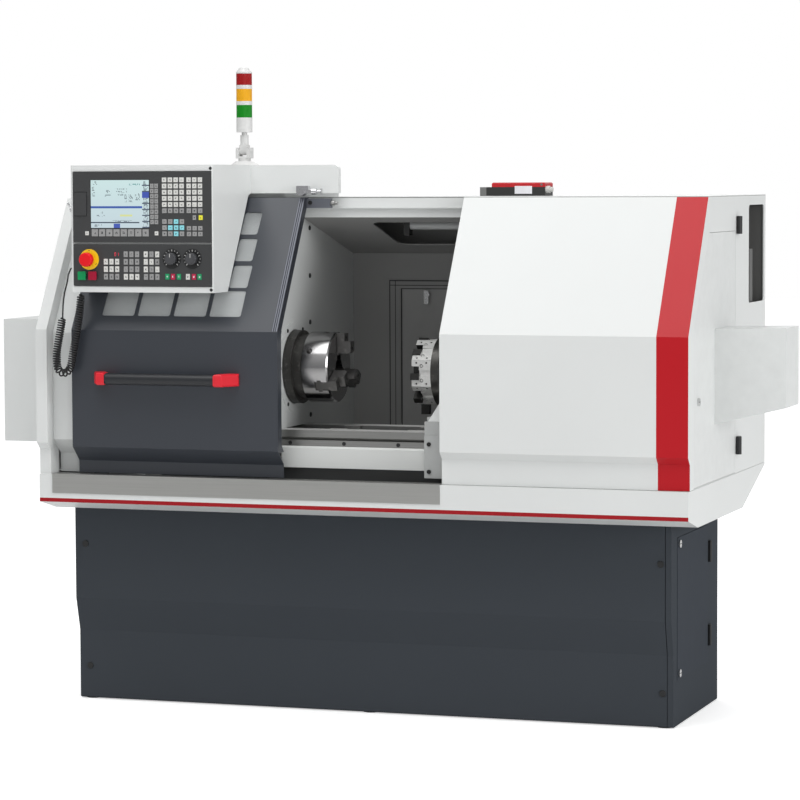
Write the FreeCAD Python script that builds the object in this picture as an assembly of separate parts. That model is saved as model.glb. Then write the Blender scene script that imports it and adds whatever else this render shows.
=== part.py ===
"""CNC turning lathe with a flat bed, a sliding guard door and a swivelling signal tower.

Working frame, millimetres: X runs along the bed from the chip tray's left end, Y runs back from the
tray's front face and Z runs up from the floor. Every piece is moved to the middle of the machine's
footprint when it is written out.
"""
import FreeCAD
import Part
import math
import os

V = FreeCAD.Vector

# Overall frame
CENTRE_X = 924.0
CENTRE_Y = 430.0
SHEET = 3.0

# Base stand
BASE_X0, BASE_X1 = 48.0, 1823.0
BASE_Y0, BASE_Y1 = 139.0, 685.0
BASE_TOP = 563.0
PLINTH_SET_BACK = 25.0
CREASE_LOW, CREASE_HIGH = 202.0, 298.0

# Chip tray
TRAY_LENGTH = 1903.0
TRAY_DEPTH = 945.0
TRAY_LIP_Z = 669.0
TRAY_FRONT_LOW = 590.0

# Enclosure section: front face, crease and roof
CREASE_Z = 1083.0
ROOF_Z = 1457.0
SLOPE_RUN = 229.0
WORK_REAR_Y = 716.0
CABINET_X0 = 1250.0
COVER_X0 = 1206.0

# Guard door
DOOR_X0, DOOR_X1 = 105.0, 731.0
DOOR_THICK = 30.0
DOOR_LOW_Z = 673.0

# Turning line
AXIS_Y = 215.0
AXIS_Z = 975.0
BED_TOP = 805.0
PLATE_X = 700.0
RUN_FIT = 0.05

# Carriage
TURRET_Y, TURRET_Z = 450.0, 952.0
TURRET_X0 = 1004.0

# Control box
CTRL_X0, CTRL_X1 = 130.0, 561.0
CTRL_FRONT = -50.0
CTRL_LOW, CTRL_TOP = 1192.0, 1548.0
CONTROL_HOLES = ((188.0, 1284.0, 12.0), (167.0, 1238.4, 10.5), (199.3, 1238.4, 10.5),
                 (438.7, 1287.0, 5.0), (500.5, 1287.0, 5.0))

NODES = {}


def keep(name, *shapes):
    """Add a piece's solids under its name; what belongs to one piece may come from several places."""
    for shape in shapes:
        NODES.setdefault(name, []).extend(shape.Solids)


def box(x0, x1, y0, y1, z0, z1):
    return Part.makeBox(x1 - x0, y1 - y0, z1 - z0, V(x0, y0, z0))


def cyl(r, start, length, axis):
    direction = {"x": V(1, 0, 0), "y": V(0, 1, 0), "z": V(0, 0, 1)}[axis]
    return Part.makeCylinder(r, length, V(*start), direction)


def ring(outer, inner, start, length, axis):
    return cyl(outer, start, length, axis).cut(cyl(inner, start, length, axis))


def prism_x(points, x0, x1):
    """Closed outline of (y, z) points pulled along X."""
    corners = [V(x0, y, z) for y, z in points]
    face = Part.Face(Part.makePolygon(corners + corners[:1]))
    return face.extrude(V(x1 - x0, 0, 0))


def prism_y(points, y0, y1):
    """Closed outline of (x, z) points pulled along Y."""
    corners = [V(x, y0, z) for x, z in points]
    face = Part.Face(Part.makePolygon(corners + corners[:1]))
    return face.extrude(V(0, y1 - y0, 0))


def offset_path(points, distance):
    """Open (y, z) path moved inwards by a distance, with mitred corners."""
    lines = []
    for (ya, za), (yb, zb) in zip(points, points[1:]):
        length = math.hypot(yb - ya, zb - za)
        ny, nz = (zb - za) / length, -(yb - ya) / length
        lines.append((ya + ny * distance, za + nz * distance, (yb - ya) / length, (zb - za) / length))
    moved = [lines[0][:2]]
    for (ya, za, uy, uz), (yb, zb, vy, vz) in zip(lines, lines[1:]):
        t = ((yb - ya) * vz - (zb - za) * vy) / (uy * vz - uz * vy)
        moved.append((ya + uy * t, za + uz * t))
    ya, za, uy, uz = lines[-1]
    length = math.dist(points[-1], points[-2])
    moved.append((ya + uy * length, za + uz * length))
    return moved


def skin(points, near, far, x0, x1, low, high):
    """Bent sheet that follows a (y, z) path between two depths, trimmed level at both ends."""
    (ya, za), (yb, zb) = points[-2:]
    reach = math.dist(points[-1], points[-2])
    tail = (yb + (yb - ya) / reach * 60, zb + (zb - za) / reach * 60)
    path = [(points[0][0], points[0][1] - 60)] + points[1:-1] + [tail]
    outline = offset_path(path, near) + offset_path(path, far)[::-1]
    return prism_x(outline, x0, x1).common(box(x0, x1, -500, 1500, low, high))


def rounded_prism(points, radius, start, pull):
    """Outline with its corners rounded, pulled along a vector."""
    edges = []
    count = len(points)
    cuts = []
    for i in range(count):
        before, here, after = points[i - 1], points[i], points[(i + 1) % count]
        a = (before - here).normalize()
        b = (after - here).normalize()
        half = a.getAngle(b) / 2
        reach = radius / math.tan(half)
        middle = here + (a + b).normalize() * (radius / math.sin(half) - radius)
        cuts.append((here + a * reach, middle, here + b * reach))
    for i in range(count):
        edges.append(Part.Arc(*cuts[i]).toShape())
        edges.append(Part.LineSegment(cuts[i][2], cuts[(i + 1) % count][0]).toShape())
    wire = Part.Wire(edges)
    wire.translate(start)
    return Part.Face(wire).extrude(pull)


def slab_y(x0, x1, z0, z1, y0, y1, radius):
    """Upright plate with rounded corners, thick along Y."""
    points = [V(x0, 0, z0), V(x1, 0, z0), V(x1, 0, z1), V(x0, 0, z1)]
    return rounded_prism(points, radius, V(0, y0, 0), V(0, y1 - y0, 0))


def slab_x(y0, y1, z0, z1, x0, x1, radius):
    """Upright plate with rounded corners, thick along X."""
    points = [V(0, y0, z0), V(0, y1, z0), V(0, y1, z1), V(0, y0, z1)]
    return rounded_prism(points, radius, V(x0, 0, 0), V(x1 - x0, 0, 0))


def fuse(first, *others):
    return first.multiFuse(list(others)).removeSplitter()


DOOR_PATH = [(44.0, DOOR_LOW_Z), (44.0, 708.0), (0.0, 750.0), (0.0, CREASE_Z), (SLOPE_RUN, ROOF_Z)]
COVER_PATH = [(16.0, TRAY_LIP_Z), (16.0, 740.0), (-4.0, 760.0), (-4.0, CREASE_Z), (SLOPE_RUN - 4, ROOF_Z)]


def slope_point(z, depth):
    """Y of the sloped guard face at a height, moved inwards by a depth."""
    lean = math.hypot(SLOPE_RUN, ROOF_Z - CREASE_Z) / (ROOF_Z - CREASE_Z)
    return (z - CREASE_Z) * SLOPE_RUN / (ROOF_Z - CREASE_Z) + depth * lean


# ---------------------------------------------------------------- base stand

def base_stand():
    outer = box(BASE_X0, BASE_X1, BASE_Y0 + PLINTH_SET_BACK, BASE_Y1, 3, BASE_TOP)
    inner = box(BASE_X0 + SHEET, BASE_X1 - SHEET, BASE_Y0 + PLINTH_SET_BACK + SHEET,
                BASE_Y1 - SHEET, 9, BASE_TOP - SHEET)
    side_opening = box(BASE_X1 - 10, BASE_X1 + 10, 200, 560, 128, 523)
    frame = outer.cut(inner).cut(side_opening)
    for x in (BASE_X0 + 60, BASE_X1 - 60):
        for y in (230.0, 625.0):
            frame = frame.cut(cyl(9.0, (x, y, 0), 20, "z"))
    keep("base_frame", frame)
    front = [(BASE_Y0 + PLINTH_SET_BACK, 6), (BASE_Y0 + PLINTH_SET_BACK, BASE_TOP), (BASE_Y0 - 3, BASE_TOP),
             (BASE_Y0 - 3, CREASE_HIGH), (BASE_Y0 + 22, CREASE_LOW), (BASE_Y0 + 22, 6)]
    keep("base_front_panel", prism_x(front, BASE_X0, BASE_X1 - 18),
         prism_x(front, BASE_X1 - 16, BASE_X1))
    plugs = []
    for x in (80.0, 1793.0):
        plugs.append(cyl(9.5, (x, BASE_Y0 - 7, 456), 4, "y"))
        plugs.append(cyl(9.5, (x, BASE_Y0 + 18, 97), 4, "y"))
    keep("cover_screws", *plugs)
    pads = []
    for x in (BASE_X0 + 30, (BASE_X0 + BASE_X1) / 2, BASE_X1 - 30):
        for y in (190.0, 660.0):
            pads.append(cyl(22, (x, y, 0), 3, "z"))
    keep("levelling_feet", *pads)


def base_side_door():
    x = BASE_X1
    keep("base_side_door", box(x - 1.5, x + 1.5, 201, 559, 129, 522))
    locks = []
    for z in (505.0, 147.0):
        body = cyl(11, (x + 1.5, 214, z), 6, "x")
        locks.append(body.cut(box(x + 5, x + 12, 204, 224, z - 1.5, z + 1.5)))
    keep("base_side_door", *locks)
    pins = [fuse(cyl(5, (x + 6.5, 566, z), 60, "z"), box(x, x + 6, 562, 585, z, z + 60)) for z in (175.0, 415.0)]
    keep("door_hinges", *pins)


# ---------------------------------------------------------------- chip tray

def chip_tray():
    outer = [(0, TRAY_FRONT_LOW), (0, TRAY_LIP_Z), (TRAY_DEPTH, TRAY_LIP_Z), (TRAY_DEPTH, 663),
             (655, BASE_TOP), (110, BASE_TOP)]
    inner = [(3, TRAY_FRONT_LOW + 2), (3, TRAY_LIP_Z - 3), (TRAY_DEPTH - 3, TRAY_LIP_Z - 3), (652, BASE_TOP + 3),
             (112, BASE_TOP + 3)]
    tray = prism_x(outer, 0, TRAY_LENGTH)
    tray = tray.cut(prism_x(inner, 3, TRAY_LENGTH - 3))
    tray = tray.cut(box(20, TRAY_LENGTH - 20, 20, TRAY_DEPTH - 20, TRAY_LIP_Z - 10, TRAY_LIP_Z + 10))
    keep("chip_tray", tray)
    sill = [(-2.5, 616), (-2.5, 671), (42, 671), (42, 669), (0, 669), (0, 616)]
    keep("sill_plate", prism_x(sill, 41, COVER_X0 - 1))


# ---------------------------------------------------------------- bed and headstock

def bed():
    section = [(90, 785), (90, BED_TOP), (165, BED_TOP), (165, 785), (265, 785), (265, BED_TOP),
               (340, BED_TOP), (340, 785), (318, 765), (318, 640), (340, 620), (340, 566),
               (118, 566), (118, 620), (112, 640), (112, 744), (98, 758), (98, 777)]
    body = prism_x(section, 330, 1882)
    x = 420
    while x < 1780:
        body = body.cut(box(x, x + 180, 150, 280, 590, 900))
        x += 230
    keep("bed", body)
    strip = box(712, 1882, 88, 98, 760, 777)
    screws = []
    x = 735.0
    while x < 1880:
        screws.append(cyl(5.5, (x, 84, 768.5), 4, "y"))
        x += 160.0
    for one in screws:
        strip = strip.cut(one)
    keep("bed", strip)
    keep("cover_screws", *screws)
    keep("bed_front_cover", prism_x([(78, 700), (78, 755), (84, 760), (98, 760), (98, 757), (86, 757),
                                     (81, 753), (81, 703), (112, 703), (112, 700)], 712, 1882))


def headstock():
    body = box(300, PLATE_X - 15, 75, 355, BED_TOP, 1125)
    body = body.makeChamfer(18, [e for e in body.Edges if abs(e.BoundBox.XLength - 385) < 1
                                 and e.BoundBox.ZMax > 1100])
    body = body.cut(cyl(50 + RUN_FIT, (290, AXIS_Y, AXIS_Z), 420, "x"))
    keep("headstock", body)
    spindle = fuse(cyl(50, (120, AXIS_Y, AXIS_Z), 572, "x"), cyl(82, (PLATE_X - 8, AXIS_Y, AXIS_Z), 12, "x"),
                   cyl(90, (200, AXIS_Y, AXIS_Z), 70, "x"))
    keep("spindle", spindle.cut(cyl(26, (100, AXIS_Y, AXIS_Z), 700, "x")))


def chuck():
    x = PLATE_X + 4
    back = fuse(cyl(104, (x, AXIS_Y, AXIS_Z), 24, "x"), cyl(92, (x + 24, AXIS_Y, AXIS_Z), 26, "x"))
    back = back.cut(cyl(26, (x - 5, AXIS_Y, AXIS_Z), 100, "x"))
    keep("chuck_back_plate", back)
    x0, length = x + 50, 81.0
    body = cyl(100, (x0, AXIS_Y, AXIS_Z), length, "x")
    body = body.makeChamfer(4, [e for e in body.Edges if e.BoundBox.XLength < 1])
    body = body.cut(cyl(26, (x0 - 5, AXIS_Y, AXIS_Z), 200, "x"))
    for i in range(3):
        turn = 120 * i
        slot = fuse(box(x0 + 40, x0 + 90, AXIS_Y - 14, AXIS_Y + 14, AXIS_Z + 20, AXIS_Z + 105),
                    box(x0 + 48, x0 + 60, AXIS_Y - 19, AXIS_Y + 19, AXIS_Z + 20, AXIS_Z + 105))
        slot.rotate(V(0, AXIS_Y, AXIS_Z), V(1, 0, 0), turn)
        body = body.cut(slot)
        key = cyl(9, (x0 + 24, AXIS_Y, AXIS_Z + 70), 40, "z")
        key.rotate(V(0, AXIS_Y, AXIS_Z), V(1, 0, 0), turn + 60)
        body = body.cut(key)
    keep("chuck_body", body)
    for i in range(3):
        y, z = AXIS_Y, AXIS_Z
        base = fuse(box(x0 + 41, x0 + 84, y - 13.7, y + 13.7, z + 34, z + 96),
                    box(x0 + 48.3, x0 + 59.7, y - 18.7, y + 18.7, z + 34, z + 96))
        top = prism_y([(x0 + 84, z + 40), (x0 + 84, z + 97), (x0 + 104, z + 97), (x0 + 104, z + 74),
                       (x0 + 122, z + 74), (x0 + 122, z + 46), (x0 + 116, z + 40)], y - 16, y + 16)
        for dz in (54, 84):
            top = top.cut(cyl(6, (x0 + 96, y, z + dz), 40, "x"))
        jaw = fuse(base, top)
        jaw.rotate(V(0, y, z), V(1, 0, 0), 120 * i)
        keep("jaw_%d" % (i + 1), jaw)


def spindle_drive():
    y, z = 470.0, 770.0
    motor = fuse(box(330, 600, y - 95, y + 95, z - 95, z + 95), box(420, 520, y - 60, y + 60, z + 95, z + 140),
                 box(340, 590, y - 110, y + 110, z - 204, z - 95))
    keep("spindle_motor", motor.cut(cyl(24 + RUN_FIT, (320, y, z), 200, "x")))
    keep("motor_pulley", fuse(cyl(24, (190, y, z), 300, "x"), cyl(60, (200, y, z), 70, "x")))
    return y, z


def drive_belt(y, z):
    """Flat belt wrapped round both pulleys with a hair of running clearance."""
    def loop(extra):
        r1, r2 = 90.3 + extra, 60.3 + extra
        dy, dz = y - AXIS_Y, z - AXIS_Z
        gap = math.hypot(dy, dz)
        line = math.atan2(dz, dy)
        lean = math.acos((r1 - r2) / gap)
        pieces = [cyl(r1, (206, AXIS_Y, AXIS_Z), 58, "x"), cyl(r2, (206, y, z), 58, "x")]
        corners = []
        for side in (1, -1):
            a = line + side * lean
            corners.append((AXIS_Y + r1 * math.cos(a), AXIS_Z + r1 * math.sin(a)))
            corners.append((y + r2 * math.cos(a), z + r2 * math.sin(a)))
        web = prism_x([corners[0], corners[1], corners[3], corners[2]], 206, 264)
        return fuse(pieces[0], pieces[1], web)
    keep("drive_belt", loop(6.0).cut(loop(0.0)))


# ---------------------------------------------------------------- enclosure, left side

def left_enclosure():
    wall = COVER_PATH[:-1] + [(slope_point(ROOF_Z - 3, 0) - 4, ROOF_Z - 3), (WORK_REAR_Y, ROOF_Z - 3),
                              (WORK_REAR_Y, TRAY_LIP_Z)]
    plate = prism_x(wall, -5, -2)
    plate = plate.cut(box(-10, 5, 303, 542, 738, 1094))
    plate = plate.cut(cyl(34, (-10, AXIS_Y, AXIS_Z), 20, "x"))
    column = skin(COVER_PATH, 0, 56, -2, 29, TRAY_LIP_Z, ROOF_Z - 3)
    keep("left_end_wall", fuse(plate, column))
    keep("left_front_panel", skin(DOOR_PATH, 38, 41, 29, PLATE_X - 3, 671, ROOF_Z - 3))
    x0, x1 = -255.0, -5.0
    cover = box(x0, x1, 300, 545, 735, 1097)
    cover = cover.makeFillet(4, [e for e in cover.Edges if abs(e.BoundBox.XMax - x0) < 1])
    keep("left_end_wall", cover.cut(box(x0 + SHEET, x1 + 1, 303, 542, 738, 1094)))
    partition = [(offset_path(DOOR_PATH, 38)[0][0], 672)] + offset_path(DOOR_PATH, 38)[1:]
    partition = partition[:-1] + [(slope_point(ROOF_Z - 3, 38), ROOF_Z - 3), (WORK_REAR_Y, ROOF_Z - 3),
                                  (WORK_REAR_Y, 672)]
    plate = prism_x(partition, PLATE_X - 3, PLATE_X)
    plate = plate.cut(box(PLATE_X - 9, PLATE_X + 9, 88, 347, 660, BED_TOP + 0.3))
    nose = ring(128, 106, (PLATE_X - 0.5, AXIS_Y, AXIS_Z), 3.5, "x")
    plate = fuse(plate.cut(cyl(106, (PLATE_X - 9, AXIS_Y, AXIS_Z), 20, "x")), nose)
    keep("end_plate", plate)
    heads = []
    for z in (1367.0, 1230.0, 1096.0, 829.0):
        heads.append(cyl(7, (PLATE_X, 344, z), 5, "x"))
    for i in range(6):
        a = math.radians(60 * i)
        heads.append(cyl(5.5, (PLATE_X + 3, AXIS_Y + 120 * math.cos(a), AXIS_Z + 120 * math.sin(a)), 4, "x"))
    keep("cover_screws", *heads)


def headstock_housing():
    fascia = box(20, 829, 238, 256, 1467, 1547)
    fascia = fascia.makeFillet(14, [e for e in fascia.Edges if e.BoundBox.XMin > 828 and e.BoundBox.ZMin > 1540])
    hood = box(20, 660, 256, 640, 1467, 1547).cut(box(23, 657, 250, 637, 1460, 1544))
    foot = box(23, 657, 262, 637, ROOF_Z, 1467).cut(box(26, 654, 265, 634, 1450, 1470))
    sill = box(660, 823, 250, 256, ROOF_Z, 1467)
    keep("headstock_housing", fuse(fascia, hood, foot, sill))


# ---------------------------------------------------------------- control box

def control_box():
    rear_low = slope_point(CTRL_LOW, 0) - 9
    rear_high = slope_point(ROOF_Z, 0) - 9
    side = [(CTRL_FRONT, CTRL_LOW), (CTRL_FRONT, CTRL_TOP), (238, CTRL_TOP), (238, 1467), (rear_high, 1460),
            (rear_low, CTRL_LOW)]
    body = prism_x(side, CTRL_X0, CTRL_X1)
    body = body.makeFillet(5, [e for e in body.Edges if e.BoundBox.YMax < CTRL_FRONT + 1
                               and e.BoundBox.XLength < 1 and e.BoundBox.ZLength > 300])
    side_in = [(CTRL_FRONT + 10, CTRL_LOW + 3), (CTRL_FRONT + 10, CTRL_TOP - 3), (235, CTRL_TOP - 3), (235, 1470),
               (rear_high - 4, 1463), (rear_low - 4, CTRL_LOW + 3)]
    body = body.cut(prism_x(side_in, CTRL_X0 + 3, CTRL_X1 - 3))
    recess = box(CTRL_X0 + 7, CTRL_X1 - 2.5, CTRL_FRONT - 1, CTRL_FRONT + 6, 1208, 1531)
    for x, z, r in CONTROL_HOLES:
        body = body.cut(cyl(r, (x, CTRL_FRONT - 10, z), 60, "y"))
    keep("control_box", body.cut(recess))
    screws = [cyl(4.5, (CTRL_X1 - 5.5, CTRL_FRONT - 2, z), 2, "y") for z in (1538.0, 1200.5)]
    keep("cover_screws", *screws)


def control_panels():
    y = CTRL_FRONT
    upper = slab_y(139, 558, 1332, 1530, y - 3, y + 6, 3)
    hole = box(193, 372, y - 5, y - 1, 1372, 1507)
    well = box(143, 181, y - 5, y - 1.2, 1406, 1473)
    keep("upper_panel", upper.cut(hole).cut(well))
    keep("upper_panel", box(193.3, 371.7, y - 2.2, y - 1, 1372.3, 1506.7))
    flap = slab_y(145.5, 180.5, 1407, 1472, y - 6, y - 2, 1.9)
    keep("usb_cover", fuse(flap, cyl(2, (145.5, y - 4, 1409), 61, "z")))
    lower = slab_y(139, 558, 1210, 1327, y - 3, y + 6, 3)
    for x, z, r in CONTROL_HOLES:
        lower = lower.cut(cyl(r, (x, y - 10, z), 25, "y"))
    keep("lower_panel", lower)


def key_block(x0, x1, z0, z1, columns, rows, gap):
    """Grid of flat keys between two corners."""
    y = CTRL_FRONT - 3
    width = (x1 - x0 - gap * (columns - 1)) / columns
    height = (z1 - z0 - gap * (rows - 1)) / rows
    keys = []
    for i in range(columns):
        for j in range(rows):
            x, z = x0 + i * (width + gap), z0 + j * (height + gap)
            keys.append(box(x, x + width, y - 1.2, y, z, z + height))
    return keys


def panel_keys():
    white = key_block(411, 477, 1414, 1513, 4, 6, 4) + key_block(485, 532, 1414, 1513, 3, 6, 4)
    white += key_block(411, 477, 1350, 1397, 4, 3, 4) + key_block(485, 532, 1350, 1378, 3, 2, 4)
    white += key_block(503, 513, 1395, 1408, 1, 1, 4) + key_block(521, 533, 1395, 1408, 1, 1, 4)
    keep("panel_keys", *white)
    soft = key_block(375, 399, 1383, 1496, 2, 8, 2) + key_block(196, 370, 1349, 1369, 8, 1, 3)
    soft += key_block(176, 187, 1352, 1363, 1, 1, 2) + key_block(388, 399, 1352, 1363, 1, 1, 2)
    keep("panel_keys", *soft)
    lower = []
    for x0 in (232.0, 293.0, 354.0):
        lower += key_block(x0, x0 + 47, 1228, 1286, 3, 3, 5)
    lower += key_block(293, 340, 1291, 1307, 3, 1, 5) + key_block(354, 401, 1291, 1307, 3, 1, 5)
    lower += key_block(263, 279, 1293, 1305, 1, 1, 5)
    keep("panel_keys", *lower)
    feed = []
    for x in (425.0, 442.0, 460.0, 487.0, 505.0, 522.0):
        feed += key_block(x - 6, x + 6, 1229, 1245, 1, 1, 2)
    keep("panel_keys", *feed)


def operator_controls():
    y = CTRL_FRONT - 3
    disc = ring(29, 12, (188, y - 3, 1284), 3, "y")
    keep("lower_panel", disc)
    stem = fuse(cyl(11.7, (188, y - 16, 1284), 26, "y"), cyl(20, (188, y - 32, 1284), 16, "y"))
    stem = stem.makeFillet(5, [e for e in stem.Edges if abs(e.BoundBox.YMax - (y - 32)) < 0.1
                               and e.BoundBox.XLength > 30])
    keep("stop_mushroom", stem)
    for name, x in (("green_button", 167.0), ("red_button", 199.3)):
        body = fuse(cyl(10.2, (x, y - 5, 1238.4), 15, "y"), slab_y(x - 12, x + 12, 1226.4, 1250.4, y - 9, y - 5, 3))
        keep(name, body)
    number = 1
    for x in (438.7, 500.5):
        knob = fuse(cyl(17.5, (x, y - 17, 1287), 15.5, "y"), cyl(4.7, (x, y - 2, 1287), 12, "y"))
        knob = knob.cut(box(x - 1.2, x + 1.2, y - 20, y - 15.5, 1290, 1310))
        keep("override_knob_%d" % number, knob)
        number += 1


# ---------------------------------------------------------------- enclosure, right side and roof

def right_enclosure():
    keep("right_cover", skin(COVER_PATH, 0, 3, COVER_X0, 1900, TRAY_LIP_Z + 1, ROOF_Z - 3))
    path = offset_path(COVER_PATH, 0)
    wall = [(path[0][0], TRAY_LIP_Z + 1)] + path[1:-1]
    wall += [(slope_point(ROOF_Z - 3, 0) - 4, ROOF_Z - 3), (TRAY_DEPTH, ROOF_Z - 3), (TRAY_DEPTH, TRAY_LIP_Z + 1)]
    plate = prism_x(wall, 1900, 1903)
    plate = plate.cut(box(1890, 1910, 60, 555, 672, CREASE_Z))
    slope = [(60, CREASE_Z - 1), (60, CREASE_Z + 20), (slope_point(1357, 60), 1357), (555, 1357), (555, CREASE_Z - 1)]
    plate = plate.cut(prism_x(slope, 1890, 1910))
    plate = plate.cut(slab_x(724, 924, 1147, 1428, 1890, 1910, 12))
    keep("right_end_wall", plate)
    slot = box(1800, 1900, 715, 930, 1140, 1436).cut(box(1803, 1901, 718, 927, 1143, 1433))
    keep("right_end_wall", slot)
    duct = box(1835, 1870, 726, 760, 1143, 1420)
    keep("right_end_wall", duct, box(1865, 1888, 800, 840, 1143, 1300))


def service_door():
    x = 1900.2
    leaf = [(61, 673), (61, CREASE_Z + 20), (slope_point(1356, 61), 1356), (554, 1356), (554, 673)]
    leaf = prism_x(leaf, x, x + 2.6)
    leaf = leaf.cut(prism_x([(305, 836), (305, 1087), (460, 1091), (460, 836)], x - 5, x + 9))
    keep("service_door", leaf)
    shell = prism_y([(1902.8, 829), (1902.8, 1092), (2103, 1096), (2103, 877)], 299, 466)
    inner = prism_y([(1899, 832), (1899, 1089), (2100, 1093), (2100, 880)], 302, 463)
    keep("service_door", shell.cut(inner))
    lock = cyl(11, (x + 2.6, 107, 903), 5, "x").cut(box(x + 5, x + 12, 97, 117, 901.6, 904.4))
    keep("service_door", lock)
    leaves = []
    for z in (1348.0, 724.0):
        barrel = cyl(8, (1911.5, 566, z), 50, "z")
        leaves.append(fuse(barrel, box(1903, 1912, 574, 596, z, z + 50)))
        leaves[-1] = leaves[-1].cut(cyl(0.5, (1911.5, 566, z), 1, "z"))
    keep("door_hinges", *leaves)


def roof_and_rear():
    left = box(-5, COVER_X0, 272, WORK_REAR_Y + 3, ROOF_Z - 3, ROOF_Z)
    middle = box(COVER_X0, CABINET_X0, SLOPE_RUN - 4, WORK_REAR_Y + 3, ROOF_Z - 3, ROOF_Z)
    right = box(CABINET_X0, TRAY_LENGTH, SLOPE_RUN - 4, TRAY_DEPTH, ROOF_Z - 3, ROOF_Z)
    keep("roof_panel", fuse(left, middle, right))
    rear = box(-2, CABINET_X0, WORK_REAR_Y, WORK_REAR_Y + 3, 671, ROOF_Z - 3)
    frame = box(816, 1188, WORK_REAR_Y - 6, WORK_REAR_Y, 690, 1206)
    rear = fuse(rear, frame).cut(box(852, 1152, 700, 730, 697, 1182))
    for i in range(7):
        rear = rear.cut(slab_y(200, 420, 900 + i * 30, 910 + i * 30, 700, 730, 4))
    keep("rear_wall", rear)
    y = WORK_REAR_Y
    door = box(854, 1150, y + 0.2, y + 2.8, 699, 1180)
    keep("rear_door", door)
    latch = fuse(cyl(8, (935, y - 12, 1164), 12.2, "y"), box(928, 942, y - 18, y - 12, 1136, 1176))
    keep("rear_door", latch)
    hinges = []
    for z in (740.0, 1080.0):
        hinges.append(fuse(cyl(6, (1160, y + 9, z), 60, "z"), box(1160, 1180, y + 3, y + 9, z, z + 60)))
    keep("door_hinges", *hinges)
    cabinet = box(CABINET_X0, 1900, y + 3, TRAY_DEPTH, 672, ROOF_Z - 3)
    cabinet = cabinet.cut(box(CABINET_X0 + 3, 1897, y + 6, TRAY_DEPTH - 3, 675, ROOF_Z - 6))
    cabinet = cabinet.cut(box(1795, 1910, 712, 934, 1136, 1440))
    keep("rear_wall", cabinet)


def top_beam():
    upper = box(PLATE_X, 1900, 272, 292, 1426, 1453)
    lower = box(PLATE_X, 1900, 282, 292, 1398, 1426)
    lip = box(PLATE_X, 1900, 268, 282, 1424, 1427)
    keep("top_beam", fuse(upper, lower, lip))
    ceiling = [(292.2, 1398), (292.2, 1401), (WORK_REAR_Y - 1.2, 1289), (WORK_REAR_Y - 1.2, 1286)]
    panel = prism_x(ceiling, PLATE_X, 1900)
    window = [V(885, 350, 0), V(1300, 350, 0), V(1300, 612, 0), V(885, 612, 0)]
    panel = panel.cut(rounded_prism(window, 28, V(0, 0, 1250), V(0, 0, 200)))
    keep("ceiling_panel", panel)
    tube = cyl(12.5, (975, 420, 1374), 305, "x")
    clip = [box(x, x + 16, 404, 436, 1344, 1452).cut(cyl(12.7, (x - 1, 420, 1374), 20, "x")) for x in (967.0, 1256.0)]
    keep("work_lamp", tube)
    keep("work_lamp", *clip)


def roof_unit():
    keep("roof_unit", box(1197, 1389, 400, 480, ROOF_Z, 1482))
    lid = box(1232, 1389, 400, 480, 1482, 1495)
    lid = lid.makeChamfer(3, [e for e in lid.Edges if e.BoundBox.ZMin > 1494])
    keep("roof_unit", lid)
    keep("roof_unit", fuse(cyl(10, (1389, 412, 1475), 12, "x"), cyl(7, (1401, 412, 1475), 8, "x")))


# ---------------------------------------------------------------- guard door

def window_cuts():
    """Panes in the slope: a low row of four and a rising column of three."""
    panes = []
    run = math.hypot(SLOPE_RUN, ROOF_Z - CREASE_Z)
    up = V(0, SLOPE_RUN / run, (ROOF_Z - CREASE_Z) / run)
    out = V(0, -(ROOF_Z - CREASE_Z) / run, SLOPE_RUN / run)
    corner = V(0, 0, CREASE_Z)

    def at(x, s):
        return corner + up * s + V(x, 0, 0)
    low, high = 47.0, 131.0
    for x, width in ((189.0, 99.0), (298.5, 99.0), (408.5, 98.0), (517.0, 95.0)):
        panes.append([at(x, low), at(x + width, low), at(x + width + 1, high), at(x + 1, high)])
    for s, width in ((140.0, 56.0), (227.0, 54.0), (314.0, 52.0)):
        panes.append([at(557, s), at(557 + width, s), at(560 + width, s + 74), at(560, s + 74)])
    return panes, out


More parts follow.
